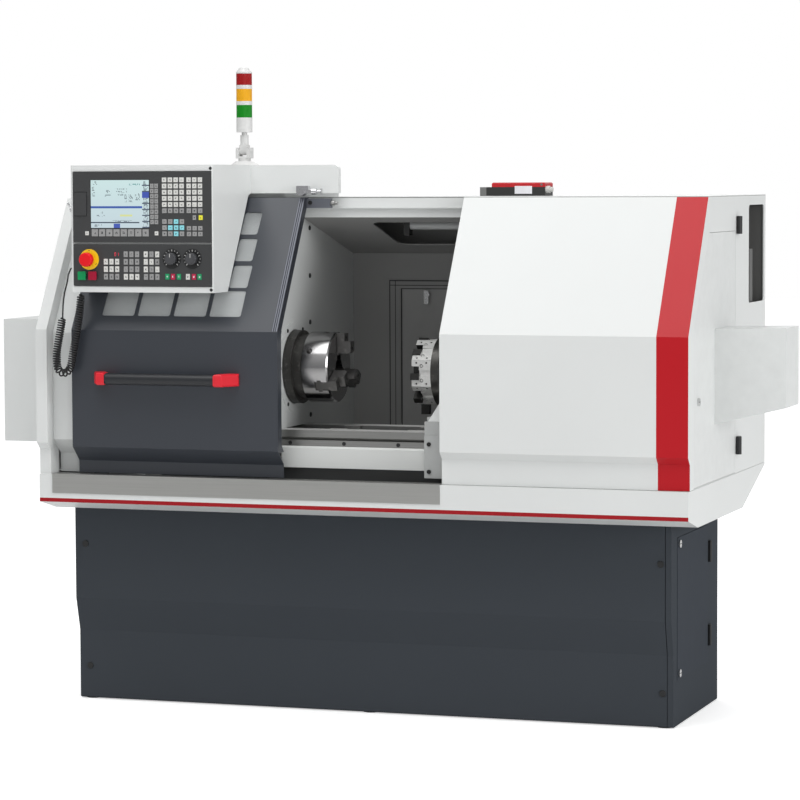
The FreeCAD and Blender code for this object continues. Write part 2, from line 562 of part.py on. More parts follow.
def guard_door():
    panel = skin(DOOR_PATH, 0, DOOR_THICK, DOOR_X0, DOOR_X1, DOOR_LOW_Z, ROOF_Z - 2)
    inner = skin(DOOR_PATH, 3, DOOR_THICK + 1, DOOR_X0 + 22, DOOR_X1 - 22, DOOR_LOW_Z + 20, ROOF_Z - 24)
    apron_gap = skin(DOOR_PATH, 3, DOOR_THICK + 1, DOOR_X0 - 1, DOOR_X1 + 1, DOOR_LOW_Z - 1, 745)
    panel = panel.cut(inner).cut(apron_gap)
    lean = prism_x([(-100, CREASE_Z + 2), (-100, 1500), (300, 1500), (300, CREASE_Z + 2)], DOOR_X1 - 17, DOOR_X1 + 5)
    panel = panel.cut(lean.common(skin(DOOR_PATH, -5, DOOR_THICK + 5, DOOR_X1 - 17, DOOR_X1 + 5, CREASE_Z + 2, 1500)))
    panes, out = window_cuts()
    glass = []
    for points in panes:
        panel = panel.cut(rounded_prism(points, 7, out * 20, out * -50))
    for points in panes:
        middle = sum(points, V()) * 0.25
        wider = [p + (p - middle).normalize() * 4 for p in points]
        glass.append(rounded_prism(wider, 9, out * -3, out * -4))
    keep("door_panel", panel)
    keep("door_glass", *glass)
    edge = skin(DOOR_PATH, 0, DOOR_THICK - 4, DOOR_X1 - 17, DOOR_X1, CREASE_Z + 2, ROOF_Z - 2)
    for i in range(2):
        edge = edge.cut(skin(DOOR_PATH, -1, 2.5, DOOR_X1 - 12.5 + i * 5.5, DOOR_X1 - 10.5 + i * 5.5, CREASE_Z, 1500))
    keep("door_edge_profile", edge)
    bracket = box(DOOR_X1, 801, 240, 262, 1425, 1452)
    keep("door_bracket", bracket.cut(cyl(6, (742, 230, 1440), 14, "y")))
    keep("door_bracket", cyl(5.8, (742, 238, 1440), 6, "y"))
    strike = fuse(cyl(7, (801, 251, 1439), 12, "x"), cyl(4, (813, 251, 1439), 8, "x"))
    keep("door_bracket", strike)
    shoes = [box(x, x + 40, 47, 62, 669.5, 680) for x in (150.0, 640.0)]
    keep("door_bracket", *shoes)


def door_handle():
    z, y = 948.0, -45.0
    keep("door_handle", cyl(17, (232, y, z), 330, "x"))
    ends = []
    for x, way in ((232.0, -1), (562.0, 1)):
        tip = [V(x, y - 17.5, 0), V(x, y + 17.5, 0), V(x + way * 18, 0, 0), V(x + way * 54, 0, 0),
               V(x + way * 54, -8, 0), V(x + way * 26, y - 15, 0)]
        solid = Part.Face(Part.makePolygon(tip + tip[:1])).extrude(V(0, 0, 35))
        solid.translate(V(0, 0, z - 17.5))
        solid = solid.makeFillet(6, [e for e in solid.Edges if e.BoundBox.ZLength < 1 and e.BoundBox.YMin < -9])
        ends.append(solid)
    keep("door_handle", *ends)


def interlock():
    body = fuse(box(706, 742, 222, 238, 1468, 1488), cyl(12, (724, 210, 1472), 28, "y"))
    arm = fuse(box(724, 768, 212, 222, 1468, 1476), cyl(9, (756, 217, 1472), 14, "x"), cyl(4, (770, 217, 1472), 16, "x"))
    keep("interlock_switch", fuse(body, arm, box(784, 787, 211, 223, 1464, 1480)))


# ---------------------------------------------------------------- carriage, turret, tailstock

def carriage():
    wing = box(1146, 1400, 70, 400, BED_TOP + 0.3, 850)
    front = box(1143, 1380, 56, 84, 799, 838)
    saddle = fuse(wing, front)
    keep("saddle", saddle)
    keep("saddle", fuse(box(1143, 1380, 52, 68, 682, 799), box(1143, 1380, 52, 70, 797, 799)))
    screws = [cyl(6, (x, 49.2, z), 2.8, "y") for x in (1157.0, 1366.0) for z in (776.0, 700.0)]
    keep("saddle", *screws)
    keep("saddle", box(1170, 1360, 90, 640, 850, 868))
    keep("saddle", prism_y([(1152, 838.2), (1380, 838.2), (1380, 905), (1196, 905)], 58, 69.5))


def cross_slide():
    bed_plate = box(1165, 1365, 215, 640, 868.3, 890)
    keep("cross_slide", bed_plate)
    house = box(TURRET_X0 + 80.4, 1330, 385, 560, 890, 1040)
    keep("cross_slide", house.cut(cyl(30 + RUN_FIT, (1080, TURRET_Y, TURRET_Z), 50, "x")))


def turret():
    """Eight facets round a hub; every facet has two lands, a tool slot and six screw holes."""
    x, y, z = TURRET_X0, TURRET_Y, TURRET_Z
    width, reach, hub = 58.0, 92.0, 70.0
    keep("turret_disc", fuse(cyl(hub, (x + 4, y, z), width - 4, "x"), cyl(99, (x + width, y, z), 22, "x"),
                             cyl(30, (x + width, y, z), 62, "x")))
    half = reach * math.tan(math.radians(22.5)) - 0.3
    wedge = prism_x([(y, z + 0.8), (y + half, z + reach), (y - half, z + reach)], x, x + width)
    wedge = wedge.cut(cyl(hub + 0.02, (x - 1, y, z), 80, "x"))
    wedge = wedge.cut(box(x - 1, x + 22, y - 19.5, y + 19.5, z + 74, z + 120))
    wedge = wedge.cut(box(x + 20, x + width + 1, y - 9, y + 9, z + reach - 4, z + 120))
    for side in (-1, 1):
        for dx in (14, 44):
            wedge = wedge.cut(cyl(2.8, (x + dx, y + side * 30, z + 84), 20, "z"))
        wedge = wedge.cut(cyl(5.2, (x + 29, y + side * 21, z + 87), 20, "z"))
    blocks, tools = [], []
    for i, tip in enumerate((98, 97, 99, 104, 124, 97, 0, 110)):
        blocks.append(wedge.copy())
        blocks[-1].rotate(V(0, y, z), V(1, 0, 0), 45 * i)
        if tip:
            tool = box(x - 2, x + 21.9, y - 19.4, y - 0.5, z + 74.1, z + tip)
            tool.rotate(V(0, y, z), V(1, 0, 0), 45 * i)
            tools.append(tool)
    keep("tool_blocks", *blocks)
    keep("tool_blocks", *tools)


def tailstock():
    foot = box(1640, 1830, 88, 342, BED_TOP + 0.3, 850)
    body = prism_x([(130, 850), (300, 850), (275, 930), (275, 1010), (262, 1025), (168, 1025), (155, 1010),
                    (155, 930)], 1640, 1830)
    body = fuse(foot, body).cut(cyl(32 + RUN_FIT, (1600, AXIS_Y, AXIS_Z), 300, "x"))
    keep("tailstock", body)
    keep("quill", cyl(32, (1610, AXIS_Y, AXIS_Z), 210, "x"))
    keep("quill", fuse(cyl(26, (1580, AXIS_Y, AXIS_Z), 30, "x"),
                             Part.makeCone(2, 22, 40, V(1540, AXIS_Y, AXIS_Z), V(1, 0, 0))))


# ---------------------------------------------------------------- signal tower and cord

TOWER_X, TOWER_Y = 519.0, 300.0


def signal_tower():
    x, y = TOWER_X, TOWER_Y
    foot = fuse(Part.makeCone(42, 26, 12, V(x, y, 1547)), cyl(18, (x, y, 1559), 14, "z"))
    ears = box(x - 21, x + 21, y - 17, y + 17, 1567, 1598)
    base = fuse(foot, ears).cut(box(x - 12.3, x + 12.3, y - 30, y + 30, 1573, 1610))
    base = base.cut(cyl(5 + RUN_FIT, (x - 30, y, 1588), 60, "x"))
    keep("tower_foot", base)
    knuckle = fuse(box(x - 12, x + 12, y - 12, y + 12, 1588, 1606), cyl(12, (x - 12, y, 1588), 24, "x"),
                   cyl(5, (x - 22, y, 1588), 44, "x"), cyl(12, (x, y, 1600), 34, "z"), cyl(8, (x, y, 1630), 12, "z"))
    keep("tower_stem", knuckle)
    keep("tower_stem", cyl(23.0, (x, y, 1642), 42, "z"), cyl(23.0, (x, y, 1720), 11, "z"),
         cyl(23.0, (x, y, 1766), 11, "z"), fuse(cyl(23.0, (x, y, 1810), 4, "z"),
                                                Part.makeCone(23.0, 14, 12, V(x, y, 1814))))
    lenses = []
    for z0, z1 in ((1684.0, 1720.0), (1731.0, 1766.0), (1777.0, 1810.0)):
        lenses.append(cyl(22.6, (x, y, z0), z1 - z0, "z"))
    keep("tower_lenses", *lenses)


def bent_tube(points, radius):
    """Round tube along straight runs joined by tangent arcs."""
    edges = []
    start = points[0]
    for before, here, after in zip(points, points[1:], points[2:]):
        a = (before - here)
        b = (after - here)
        turn = math.pi - a.getAngle(b)
        bend = 0.45 * min(a.Length, b.Length) / math.tan(turn / 2)
        reach = bend * math.tan(turn / 2)
        a.normalize()
        b.normalize()
        middle = here + (a + b).normalize() * (bend / math.cos(turn / 2) - bend)
        print("cord bend radius %.1f mm" % bend)
        edges.append(Part.LineSegment(start, here + a * reach).toShape())
        edges.append(Part.Arc(here + a * reach, middle, here + b * reach).toShape())
        start = here + b * reach
    edges.append(Part.LineSegment(start, points[-1]).toShape())
    wire = Part.Wire(edges)
    profile = Part.Wire(Part.Circle(points[0], points[1] - points[0], radius).toShape())
    tube = wire.makePipeShell([profile], True, True)
    length = sum(e.Length for e in edges)
    print("cord length %.1f mm" % length)
    return tube


def cords():
    y = -25.0
    tail = [V(CTRL_X0 - 2.6, -10, 1262), V(112, y, 1262), V(106, y, 1218), V(96, y, 1190), V(91, y, 1150),
            V(90, y, 1119)]
    keep("curly_cord", bent_tube(tail, 3.0))
    coil = [V(90, y, 1118.5), V(78, y, 1060), V(69, y - 1, 1012), V(75, y - 2, 960), V(112, y - 2, 962),
            V(124, y - 1, 1030), V(139, -23, 1105), V(CTRL_X0 + 17, -22, CTRL_LOW - 6)]
    keep("curly_cord", bent_tube(coil, 12.0))


def write_all():
    os.makedirs("parts", exist_ok=True)
    for name, solids in NODES.items():
        shape = solids[0] if len(solids) == 1 else Part.makeCompound(solids)
        shape.translate(V(-CENTRE_X, -CENTRE_Y, 0))
        if not shape.isValid():
            print("not valid", name)
        shape.exportStep("parts/%s.step" % name)
    print(len(NODES), "nodes")


base_stand()
base_side_door()
chip_tray()
bed()
headstock()
chuck()
drive_belt(*spindle_drive())
left_enclosure()
headstock_housing()
control_box()
control_panels()
panel_keys()
operator_controls()
right_enclosure()
service_door()
roof_and_rear()
top_beam()
roof_unit()
guard_door()
door_handle()
interlock()
carriage()
cross_slide()
turret()
tailstock()
signal_tower()
cords()
write_all()
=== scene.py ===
import math
import bpy
import bmesh
from mathutils import Matrix, Vector


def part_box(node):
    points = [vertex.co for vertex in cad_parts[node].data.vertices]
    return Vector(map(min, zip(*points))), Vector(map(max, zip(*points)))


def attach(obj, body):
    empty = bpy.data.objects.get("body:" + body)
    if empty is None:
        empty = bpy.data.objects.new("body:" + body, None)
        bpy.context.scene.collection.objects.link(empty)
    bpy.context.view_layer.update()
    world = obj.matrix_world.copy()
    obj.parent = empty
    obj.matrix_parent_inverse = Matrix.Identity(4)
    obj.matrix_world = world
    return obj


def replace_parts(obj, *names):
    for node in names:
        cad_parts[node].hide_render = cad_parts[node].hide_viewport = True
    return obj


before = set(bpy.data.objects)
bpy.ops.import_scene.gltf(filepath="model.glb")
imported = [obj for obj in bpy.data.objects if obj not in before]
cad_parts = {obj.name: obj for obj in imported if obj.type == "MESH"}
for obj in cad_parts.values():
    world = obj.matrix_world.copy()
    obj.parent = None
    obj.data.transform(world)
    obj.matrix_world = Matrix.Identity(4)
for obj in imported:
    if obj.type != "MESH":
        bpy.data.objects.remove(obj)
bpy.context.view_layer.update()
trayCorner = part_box("chip_tray")[0]   # left front corner of the tray: all places are measured from it
turningLine = (215, 975)              # y and z of the spindle's axis
turretAxis = (450, 952)               # y and z of the turret's axis


def at(x, y, z):
    # millimetres from the tray's left end, its front face and the floor
    return Vector((trayCorner.x + x / 1000, trayCorner.y + y / 1000, z / 1000))


def sizeAt(x, y, z):
    return Vector((x, y, z)) / 1000


def reachFrom(first, second, centre):
    # distance of two coordinates, both wires, from a centre
    return ((first - centre[0]) * (first - centre[0]) + (second - centre[1]) * (second - centre[1])).root()


cameraSetup = {
    "place": (2.9828, -8.6646, 1.5061),   # metres
    "yaw": 18.878,                        # degrees
    "pitch": -3.978,
    "roll": -0.238,
    "lens": 143.0,
}


def makeCamera():
    yaw, pitch, roll = (math.radians(cameraSetup[key]) for key in ("yaw", "pitch", "roll"))
    ahead = Vector((-math.sin(yaw) * math.cos(pitch), math.cos(yaw) * math.cos(pitch), math.sin(pitch)))
    right = Vector((math.cos(yaw), math.sin(yaw), 0))
    up = right.cross(ahead)
    side = right * math.cos(roll) + up * math.sin(roll)
    top = up * math.cos(roll) - right * math.sin(roll)
    camera = bpy.data.objects.new("studioCamera", bpy.data.cameras.new("studioCamera"))
    camera.data.lens = cameraSetup["lens"]
    camera.data.clip_end = 100
    turn = Matrix((side, top, -ahead)).transposed().to_4x4()
    camera.matrix_world = Matrix.Translation(cameraSetup["place"]) @ turn
    bpy.context.collection.objects.link(camera)
    bpy.context.scene.camera = camera


lampSetup = {
    "overhead": {"place": (-0.5, -1.8, 4.6), "size": 3.0, "watts": 76},
    "rear": {"place": (-1.0, 4.6, 3.6), "size": 3.0, "watts": 40},
    "right": {"place": (11.0, -4.0, 3.4), "size": 4.0, "watts": 470},
    "front": {"place": (3.2, -6.5, 2.0), "size": 1.6, "watts": 10},
}
lampAim = Vector((0, 0, 0.9))   # every lamp looks at the machine's middle
skySetup = {"low": (0.30, 0.305, 0.31, 1), "high": (0.9, 0.9, 0.9, 1), "seen": (1, 1, 1, 1)}


def makeStudio():
    for name, setup in lampSetup.items():
        light = bpy.data.lights.new(name, "AREA")
        light.shape = "SQUARE"
        light.size = setup["size"]
        light.energy = setup["watts"]
        lamp = bpy.data.objects.new(name, light)
        aim = lampAim - Vector(setup["place"])
        turn = aim.to_track_quat("-Z", "Y").to_matrix().to_4x4()
        lamp.matrix_world = Matrix.Translation(setup["place"]) @ turn
        bpy.context.collection.objects.link(lamp)
    world = bpy.data.worlds.new("studioWorld")
    bpy.context.scene.world = world
    world.use_nodes = True
    nodes, links = world.node_tree.nodes, world.node_tree.links
    back = nodes["Background"]
    sky = nodes.new("ShaderNodeTexCoord")
    split = nodes.new("ShaderNodeSeparateXYZ")
    ramp = nodes.new("ShaderNodeValToRGB")
    path = nodes.new("ShaderNodeLightPath")
    pick = nodes.new("ShaderNodeMix")
    pick.data_type = "RGBA"
    ramp.color_ramp.elements[0].color = skySetup["low"]
    ramp.color_ramp.elements[1].color = skySetup["high"]
    links.new(sky.outputs["Generated"], split.inputs[0])
    links.new(split.outputs["Z"], ramp.inputs[0])
    links.new(path.outputs["Is Camera Ray"], pick.inputs[0])
    links.new(ramp.outputs[0], pick.inputs[6])
    pick.inputs[7].default_value = skySetup["seen"]
    links.new(pick.outputs[2], back.inputs["Color"])
    back.inputs["Strength"].default_value = 1.0
    bpy.context.scene.view_settings.view_transform = "Standard"


class Wire:
    def __init__(self, finish, socket):
        self.finish = finish
        self.socket = socket

    def join(self, operation, *others):
        sockets = dict(enumerate((self,) + others))
        return self.finish.node("ShaderNodeMath", {"operation": operation}, sockets)

    def __add__(self, other):
        return self.join("ADD", other)

    def __radd__(self, other):
        return self.join("ADD", other)

    def __sub__(self, other):
        return self.join("SUBTRACT", other)

    def __rsub__(self, other):
        return (self * -1).join("ADD", other)

    def __mul__(self, other):
        return self.join("MULTIPLY", other)

    def __rmul__(self, other):
        return self.join("MULTIPLY", other)

    def __truediv__(self, other):
        return self.join("DIVIDE", other)

    def __gt__(self, other):
        return self.join("GREATER_THAN", other)

    def __lt__(self, other):
        return self.join("LESS_THAN", other)

    def __abs__(self):
        return self.join("ABSOLUTE")

    def between(self, low, high):
        return (self > low) * (self < high)

    def inAny(self, stretches):
        # 1 where the value lies in one of the stretches, each from and to
        found = None
        for low, high in stretches:
            here = self.between(low, high)
            found = here if found is None else found.widest(here)
        return found

    def widest(self, other):
        return self.join("MAXIMUM", other)

    def whole(self):
        return self.join("FLOOR")

    def part(self):
        return self.join("FRACT")

    def wave(self):
        return self.join("SINE")

    def root(self):
        return self.join("SQRT")


socketNames = {"ior": "IOR", "specularLevel": "Specular IOR Level"}


class Finish:
    def __init__(self, name, **fixed):
        self.material = bpy.data.materials.new(name)
        self.material.use_nodes = True
        self.tree = self.material.node_tree
        self.shader = self.tree.nodes["Principled BSDF"]
        self.feed(**fixed)

    def feed(self, **sockets):
        for key, value in sockets.items():
            words = "".join(" " + letter if letter.isupper() else letter for letter in key)
            name = words[0].upper() + words[1:]
            self.plug(self.shader.inputs[socketNames.get(key, name)], value)
        return self

    def plug(self, socket, value):
        if isinstance(value, Wire):
            self.tree.links.new(value.socket, socket)
        else:
            socket.default_value = value

    def node(self, kind, settings=None, sockets=None, output=0):
        node = self.tree.nodes.new(kind)
        for key, value in (settings or {}).items():
            if key == "stops":
                ramp = node.color_ramp.elements
                while len(ramp) < len(value):
                    ramp.new(0.5)
                for stop, (place, colour) in zip(ramp, value):
                    stop.position = place
                    stop.color = colour
            else:
                setattr(node, key, value)
        for key, value in (sockets or {}).items():
            self.plug(node.inputs[key], value)
        return Wire(self, node.outputs[output])

    def place(self, scale=(1, 1, 1), shift=(0, 0, 0)):
        spot = self.node("ShaderNodeTexCoord", output="Object")
        return self.node("ShaderNodeMapping", None, {"Vector": spot, "Scale": scale, "Location": shift})

    def spread(self, vector):
        # the three numbers of a vector
        cut = self.node("ShaderNodeSeparateXYZ", None, {0: vector})
        return [Wire(self, out) for out in cut.socket.node.outputs]

    def spot(self):
        # x, y and z in millimetres from the tray's corner
        shift = [-trayCorner.x * 1000, -trayCorner.y * 1000, 0]
        return self.spread(self.place((1000, 1000, 1000), shift))

    def facing(self):
        # the surface's own direction as x, y and z
        return self.spread(self.node("ShaderNodeTexCoord", output="Normal"))

    def grain(self, scale, detail=2.0, stretch=(1, 1, 1), rough=0.5):
        sockets = {"Vector": self.place(stretch), "Scale": scale, "Detail": detail, "Roughness": rough}
        return self.node("ShaderNodeTexNoise", None, sockets)

    def lines(self, value, scale, detail=2.0):
        sockets = {"W": value, "Scale": scale, "Detail": detail}
        return self.node("ShaderNodeTexNoise", {"noise_dimensions": "1D"}, sockets)

    def mix(self, share, first, second):
        return self.node("ShaderNodeMix", {"data_type": "RGBA"}, {0: share, 6: first, 7: second}, 2)

    def relief(self, height, strength, depth):
        sockets = {"Height": height, "Strength": strength, "Distance": depth}
        self.feed(normal=self.node("ShaderNodeBump", None, sockets))
        return self


def tone(red, green, blue):
    # a screen colour, 0 to 255, as the renderer's linear light
    def linear(value):
        value = value / 255
        return value / 12.92 if value < 0.04045 else ((value + 0.055) / 1.055) ** 2.4
    return (linear(red), linear(green), linear(blue), 1.0)


def shade(colour, factor):
    return tuple(min(1.0, value * factor) for value in colour[:3]) + (1.0,)


paintSetup = {
    "white": {"colour": tone(222, 224, 223), "rough": 0.34, "peel": 0.10},
    "lightGrey": {"colour": tone(206, 208, 207), "rough": 0.38, "peel": 0.10},
    "interior": {"colour": tone(158, 158, 157), "rough": 0.45, "peel": 0.10},
    "slate": {"colour": tone(66, 70, 75), "rough": 0.9, "peel": 0.14, "gloss": 0.02},
    "doorSlate": {"colour": tone(54, 58, 65), "rough": 0.34, "peel": 0.12, "gloss": 0.5},
    "casting": {"colour": tone(214, 216, 214), "rough": 0.45, "peel": 0.3},
    "red": {"colour": tone(184, 8, 24)},
}


def paintColour(finish, colour):
    cloud = finish.grain(2.2, 3.0)
    fleck = finish.grain(260, 2.0)
    soft = finish.mix(cloud, shade(colour, 0.95), shade(colour, 1.04))
    return finish.mix(fleck * 0.25, soft, shade(colour, 0.92))


def paintSkin(finish, rough, peel):
    # powder coat: a slight orange peel and faint uneven gloss
    finish.feed(roughness=rough - 0.04 + finish.grain(7, 2.0) * 0.1)
    finish.relief(finish.grain(420, 2.0), peel, 0.0004)
    return finish.material


def paint(name, key, patches=()):
    # patches: (function of the finish giving a mask, colour) laid over the first coat
    setup = paintSetup[key]
    finish = Finish(name, specularLevel=setup.get("gloss", 0.32))
    colour = paintColour(finish, setup["colour"])
    for mask, patch in patches:
        colour = finish.mix(mask(finish), colour, paintColour(finish, patch))
    finish.feed(baseColor=colour)
    return paintSkin(finish, setup["rough"], setup["peel"])


def facingFront(finish):
    return finish.facing()[1] < -0.3


bandSetup = {"left": 1815.0, "depth": 300, "stripeLow": 588.5, "stripeHigh": 601.0, "hem": 586.5}


def bandMask(finish):
    x, y = finish.spot()[:2]
    return (x > bandSetup["left"]) * (y < bandSetup["depth"]) * facingFront(finish)


def stripeMask(finish):
    height = finish.spot()[2]
    return height.between(bandSetup["stripeLow"], bandSetup["stripeHigh"]) * facingFront(finish)


def hemMask(finish):
    # the tray's folded lower hem, painted darker
    return (finish.spot()[2] < bandSetup["hem"]) * facingFront(finish)


troughSetup = {"front": 50, "top": 668}


def troughShadeMask(finish):
    # the tray's trough behind its front lip, painted darker as shade
    y, z = finish.spot()[1:]
    return (y > troughSetup["front"]) * (z < troughSetup["top"]) * (finish.facing()[2] > 0.5)


rearWallSetup = {
    "workSide": 719.2,                                    # y of the sheet's working side
    "left": 815.9, "right": 1188.1, "front": 713.5,       # the rear door's pressed frame
    "upright": ((816, 819), (1185, 1188), (834, 836)),    # its grooves, painted dark as shade, each from and to
    "level": ((1203, 1206), (1190, 1192)),
}


def workSideMask(finish):
    # the rear wall's working side; its back is white like the cabinet
    return (finish.spot()[1] < rearWallSetup["workSide"]) * (finish.facing()[1] < 0.5)


# painted shade: dark lines along the grooves of the rear door's frame
def doorFrameShadeMask(finish):
    x, y, z = finish.spot()
    groove = x.inAny(rearWallSetup["upright"]).widest(z.inAny(rearWallSetup["level"]))
    across = x.between(rearWallSetup["left"], rearWallSetup["right"])
    return groove * (y < rearWallSetup["front"]) * across


def roundMask(x, z, radius, front):
    # a disc facing the front, nearer than the given y
    def mask(finish):
        across, deep, up = finish.spot()
        return (reachFrom(across, up, (x, z)) < radius) * (deep < front)
    return mask


def over(axis, limit):
    # what lies past a place on one axis, in millimetres
    return lambda finish: finish.spot()["xyz".index(axis)] > limit


def under(axis, limit):
    return lambda finish: finish.spot()["xyz".index(axis)] < limit


def both(first, second):
    return lambda finish: first(finish) * second(finish)


def metal(name, colour, rough, lines=None, wear=0.0, metallic=1.0):
    # lines: "x" for strokes along the bed, "turned" for a lathe's rings round the spindle line
    finish = Finish(name, metallic=metallic)
    if lines == "x":
        strokes = finish.grain(1, 3.0, (4, 900, 900))
    elif lines == "turned":
        x, y, z = finish.spot()
        strokes = finish.lines(reachFrom(y, z, turningLine) + x, 1.6, 3.0)
    else:
        strokes = finish.grain(300, 3.0)
    cloud = finish.grain(9, 4.0)
    colourNow = finish.mix(strokes, shade(colour, 0.86), shade(colour, 1.1))
    if wear:
        stops = [(0.55, (0, 0, 0, 1)), (0.75, (1, 1, 1, 1))]
        scuff = finish.node("ShaderNodeValToRGB", {"stops": stops}, {0: finish.grain(60, 6.0)})
        colourNow = finish.mix(scuff * wear, colourNow, tone(165, 162, 158))
    finish.feed(baseColor=colourNow, roughness=rough - 0.06 + strokes * 0.08 + cloud * 0.08)
    finish.relief(strokes, 0.12, 0.0002)
    return finish.material


def plastic(name, colour, rough=0.4, texture=0.25, **fixed):
    finish = Finish(name, **fixed)
    cloud = finish.grain(14, 3.0)
    finish.feed(baseColor=finish.mix(cloud, shade(colour, 0.88), shade(colour, 1.12)))
    finish.feed(roughness=rough - 0.05 + finish.grain(900, 1.0) * 0.1)
    finish.relief(finish.grain(1500, 1.0), texture, 0.0002)
    return finish.material


bedSetup = {
    "wayTop": 784.9,
    "wayLow": 776.8,
    "stripLow": 759.5, "stripFront": 98.3,   # grey strip under the front way
    "trayDark": 702,                         # the casting is painted darker below this height, as shade down by the tray
}


def bedSteel():
    # ground ways on top, a grey strip below them, painted casting under both; the upward faces of the ways
    # get a brighter, less metallic colour than the steel below them, a painted highlight on the ground steel
    s = bedSetup
    finish = Finish("bedSteel")
    y, z = finish.spot()[1:]
    top = (z > s["wayTop"]) * (finish.facing()[2] > 0.5)
    steel = (z > s["wayLow"]).widest(z.between(s["stripLow"], s["wayLow"]) * (y < s["stripFront"]))
    strokes = finish.grain(1, 3.0, (5, 700, 700))
    # painted highlight: the ways' upward faces are coloured brighter than their sides and the strip
    bright = finish.mix(strokes, tone(214, 214, 212), tone(244, 244, 242))
    dull = finish.mix(strokes, tone(128, 128, 126), tone(160, 160, 158))
    castColour = paintColour(finish, paintSetup["casting"]["colour"])
    # painted shade: the casting darkens below the tray height
    castColour = finish.mix(z < s["trayDark"], castColour, paintColour(finish, tone(84, 85, 85)))
    finish.feed(baseColor=finish.mix(steel, castColour, finish.mix(top, dull, bright)))
    finish.feed(metallic=steel * 0.8 - top * 0.45, roughness=0.42 - steel * 0.12 + strokes * 0.08)
    finish.relief(strokes * steel + finish.grain(90, 4.0) * (1 - steel) * 2, 0.12, 0.0004)
    return finish.material


def patchedMetal(name, base, patches, rough=0.35, gloss=0.5):
    # a plain finish whose parts differ by place: (mask, colour, metallic, roughness)
    finish = Finish(name, specularLevel=gloss)
    cloud = finish.grain(30, 3.0)

    def coat(colour):
        return finish.mix(cloud, shade(colour, 0.93), shade(colour, 1.06))

    colour, metallic, dull = coat(base), 0.0, rough + cloud * 0.06
    for mask, patch, metalShare, roughNow in patches:
        here = mask(finish)
        colour = finish.mix(here, colour, coat(patch))
        metallic = metallic * (1 - here) + here * metalShare
        dull = dull * (1 - here) + here * roughNow
    finish.feed(baseColor=colour, metallic=metallic, roughness=dull)
    finish.relief(finish.grain(500, 2.0), 0.1, 0.0003)
    return finish.material


def clearPanel():
    # scratched polycarbonate: lets most light through and hazes it a little
    finish = Finish("clearPanel", ior=1.45)
    film = finish.grain(5, 3.0)
    scratch = finish.grain(1, 4.0, (30, 260, 260))
    finish.feed(baseColor=finish.mix(film, tone(222, 228, 230), tone(240, 244, 245)))
    finish.feed(roughness=0.05 + film * 0.1, alpha=0.14 + scratch * 0.1)
    return finish.material


profileSetup = {"grooves": ((713.5, 715), (718, 720), (723.8, 725.8)), "edge": 730}


def doorProfile():
    # anodised guide strip; its grooves and its face past the edge are painted dark as shade
    finish = Finish("doorProfile", specularLevel=0.4)
    x = finish.spot()[0]
    grooves = x.inAny(profileSetup["grooves"]).widest(x > profileSetup["edge"])
    strokes = finish.grain(1, 3.0, (900, 6, 6))
    body = finish.mix(strokes, tone(94, 97, 105), tone(116, 119, 128))
    finish.feed(baseColor=finish.mix(grooves, body, tone(52, 55, 62)), roughness=0.36 + strokes * 0.1)
    finish.feed(metallic=0.35 - grooves * 0.2)
    finish.relief(strokes, 0.1, 0.0002)
    return finish.material


toolSetup = {"facets": 8, "shankEnd": 1026, "halfWidth": 19.8, "hub": 73}


def toolFinish():
    # bright ground facets; black shanks stand in their slots at the left
    s = toolSetup
    finish = Finish("toolFinish")
    x, y, z = finish.spot()
    facet = 2 * math.pi / s["facets"]
    reach = reachFrom(y, z, turretAxis)
    angle = (z - turretAxis[1]).join("ARCTAN2", y - turretAxis[0]) / facet
    part = (angle + s["facets"] / 2 + 0.5).part() - 0.5
    side = (part * facet).wave() * reach
    shank = (x < s["shankEnd"]) * side.between(-s["halfWidth"], s["halfWidth"]) * (reach > s["hub"])
    strokes = finish.grain(240, 3.0)
    bright = finish.mix(strokes, tone(222, 222, 220), tone(248, 248, 246))
    black = finish.mix(strokes, tone(34, 34, 33), tone(52, 52, 50))
    finish.feed(baseColor=finish.mix(shank, bright, black), metallic=0.4 - shank * 0.2)
    finish.feed(roughness=0.32 + strokes * 0.08 + shank * 0.08)
    finish.relief(strokes, 0.1, 0.0002)
    return finish.material


lensSetup = {"centre": (519, 300), "amberFrom": 1725, "redFrom": 1771, "ribs": 40}


def lensPlastic():
    # three coloured lenses, ribbed upright, told apart by height
    s = lensSetup
    finish = Finish("lensPlastic", emissionStrength=0.02, specularLevel=0.15)
    x, y, z = finish.spot()
    green, amber, red = tone(0, 128, 16), tone(228, 164, 20), tone(150, 4, 8)
    colour = finish.mix(z > s["amberFrom"], green, finish.mix(z > s["redFrom"], amber, red))
    angle = (y - s["centre"][1]).join("ARCTAN2", x - s["centre"][0])
    pale = finish.mix(0.05, colour, (1, 1, 1, 1))
    colour = finish.mix(finish.grain(120, 2.0) * 0.3, colour, pale)
    finish.feed(baseColor=colour, emissionColor=colour, roughness=0.3 + finish.grain(60, 2.0) * 0.1)
    finish.relief((angle * s["ribs"]).wave(), 0.5, 0.0006)
    return finish.material


workLampSetup = {"axis": (420, 1374), "tube": 12.6}
handleSetup = {"middle": 397, "halfBar": 165.2}


def lampClipMask(finish):
    y, z = finish.spot()[1:]
    return reachFrom(y, z, workLampSetup["axis"]) > workLampSetup["tube"]


def handleEndMask(finish):
    return abs(finish.spot()[0] - handleSetup["middle"]) > handleSetup["halfBar"]


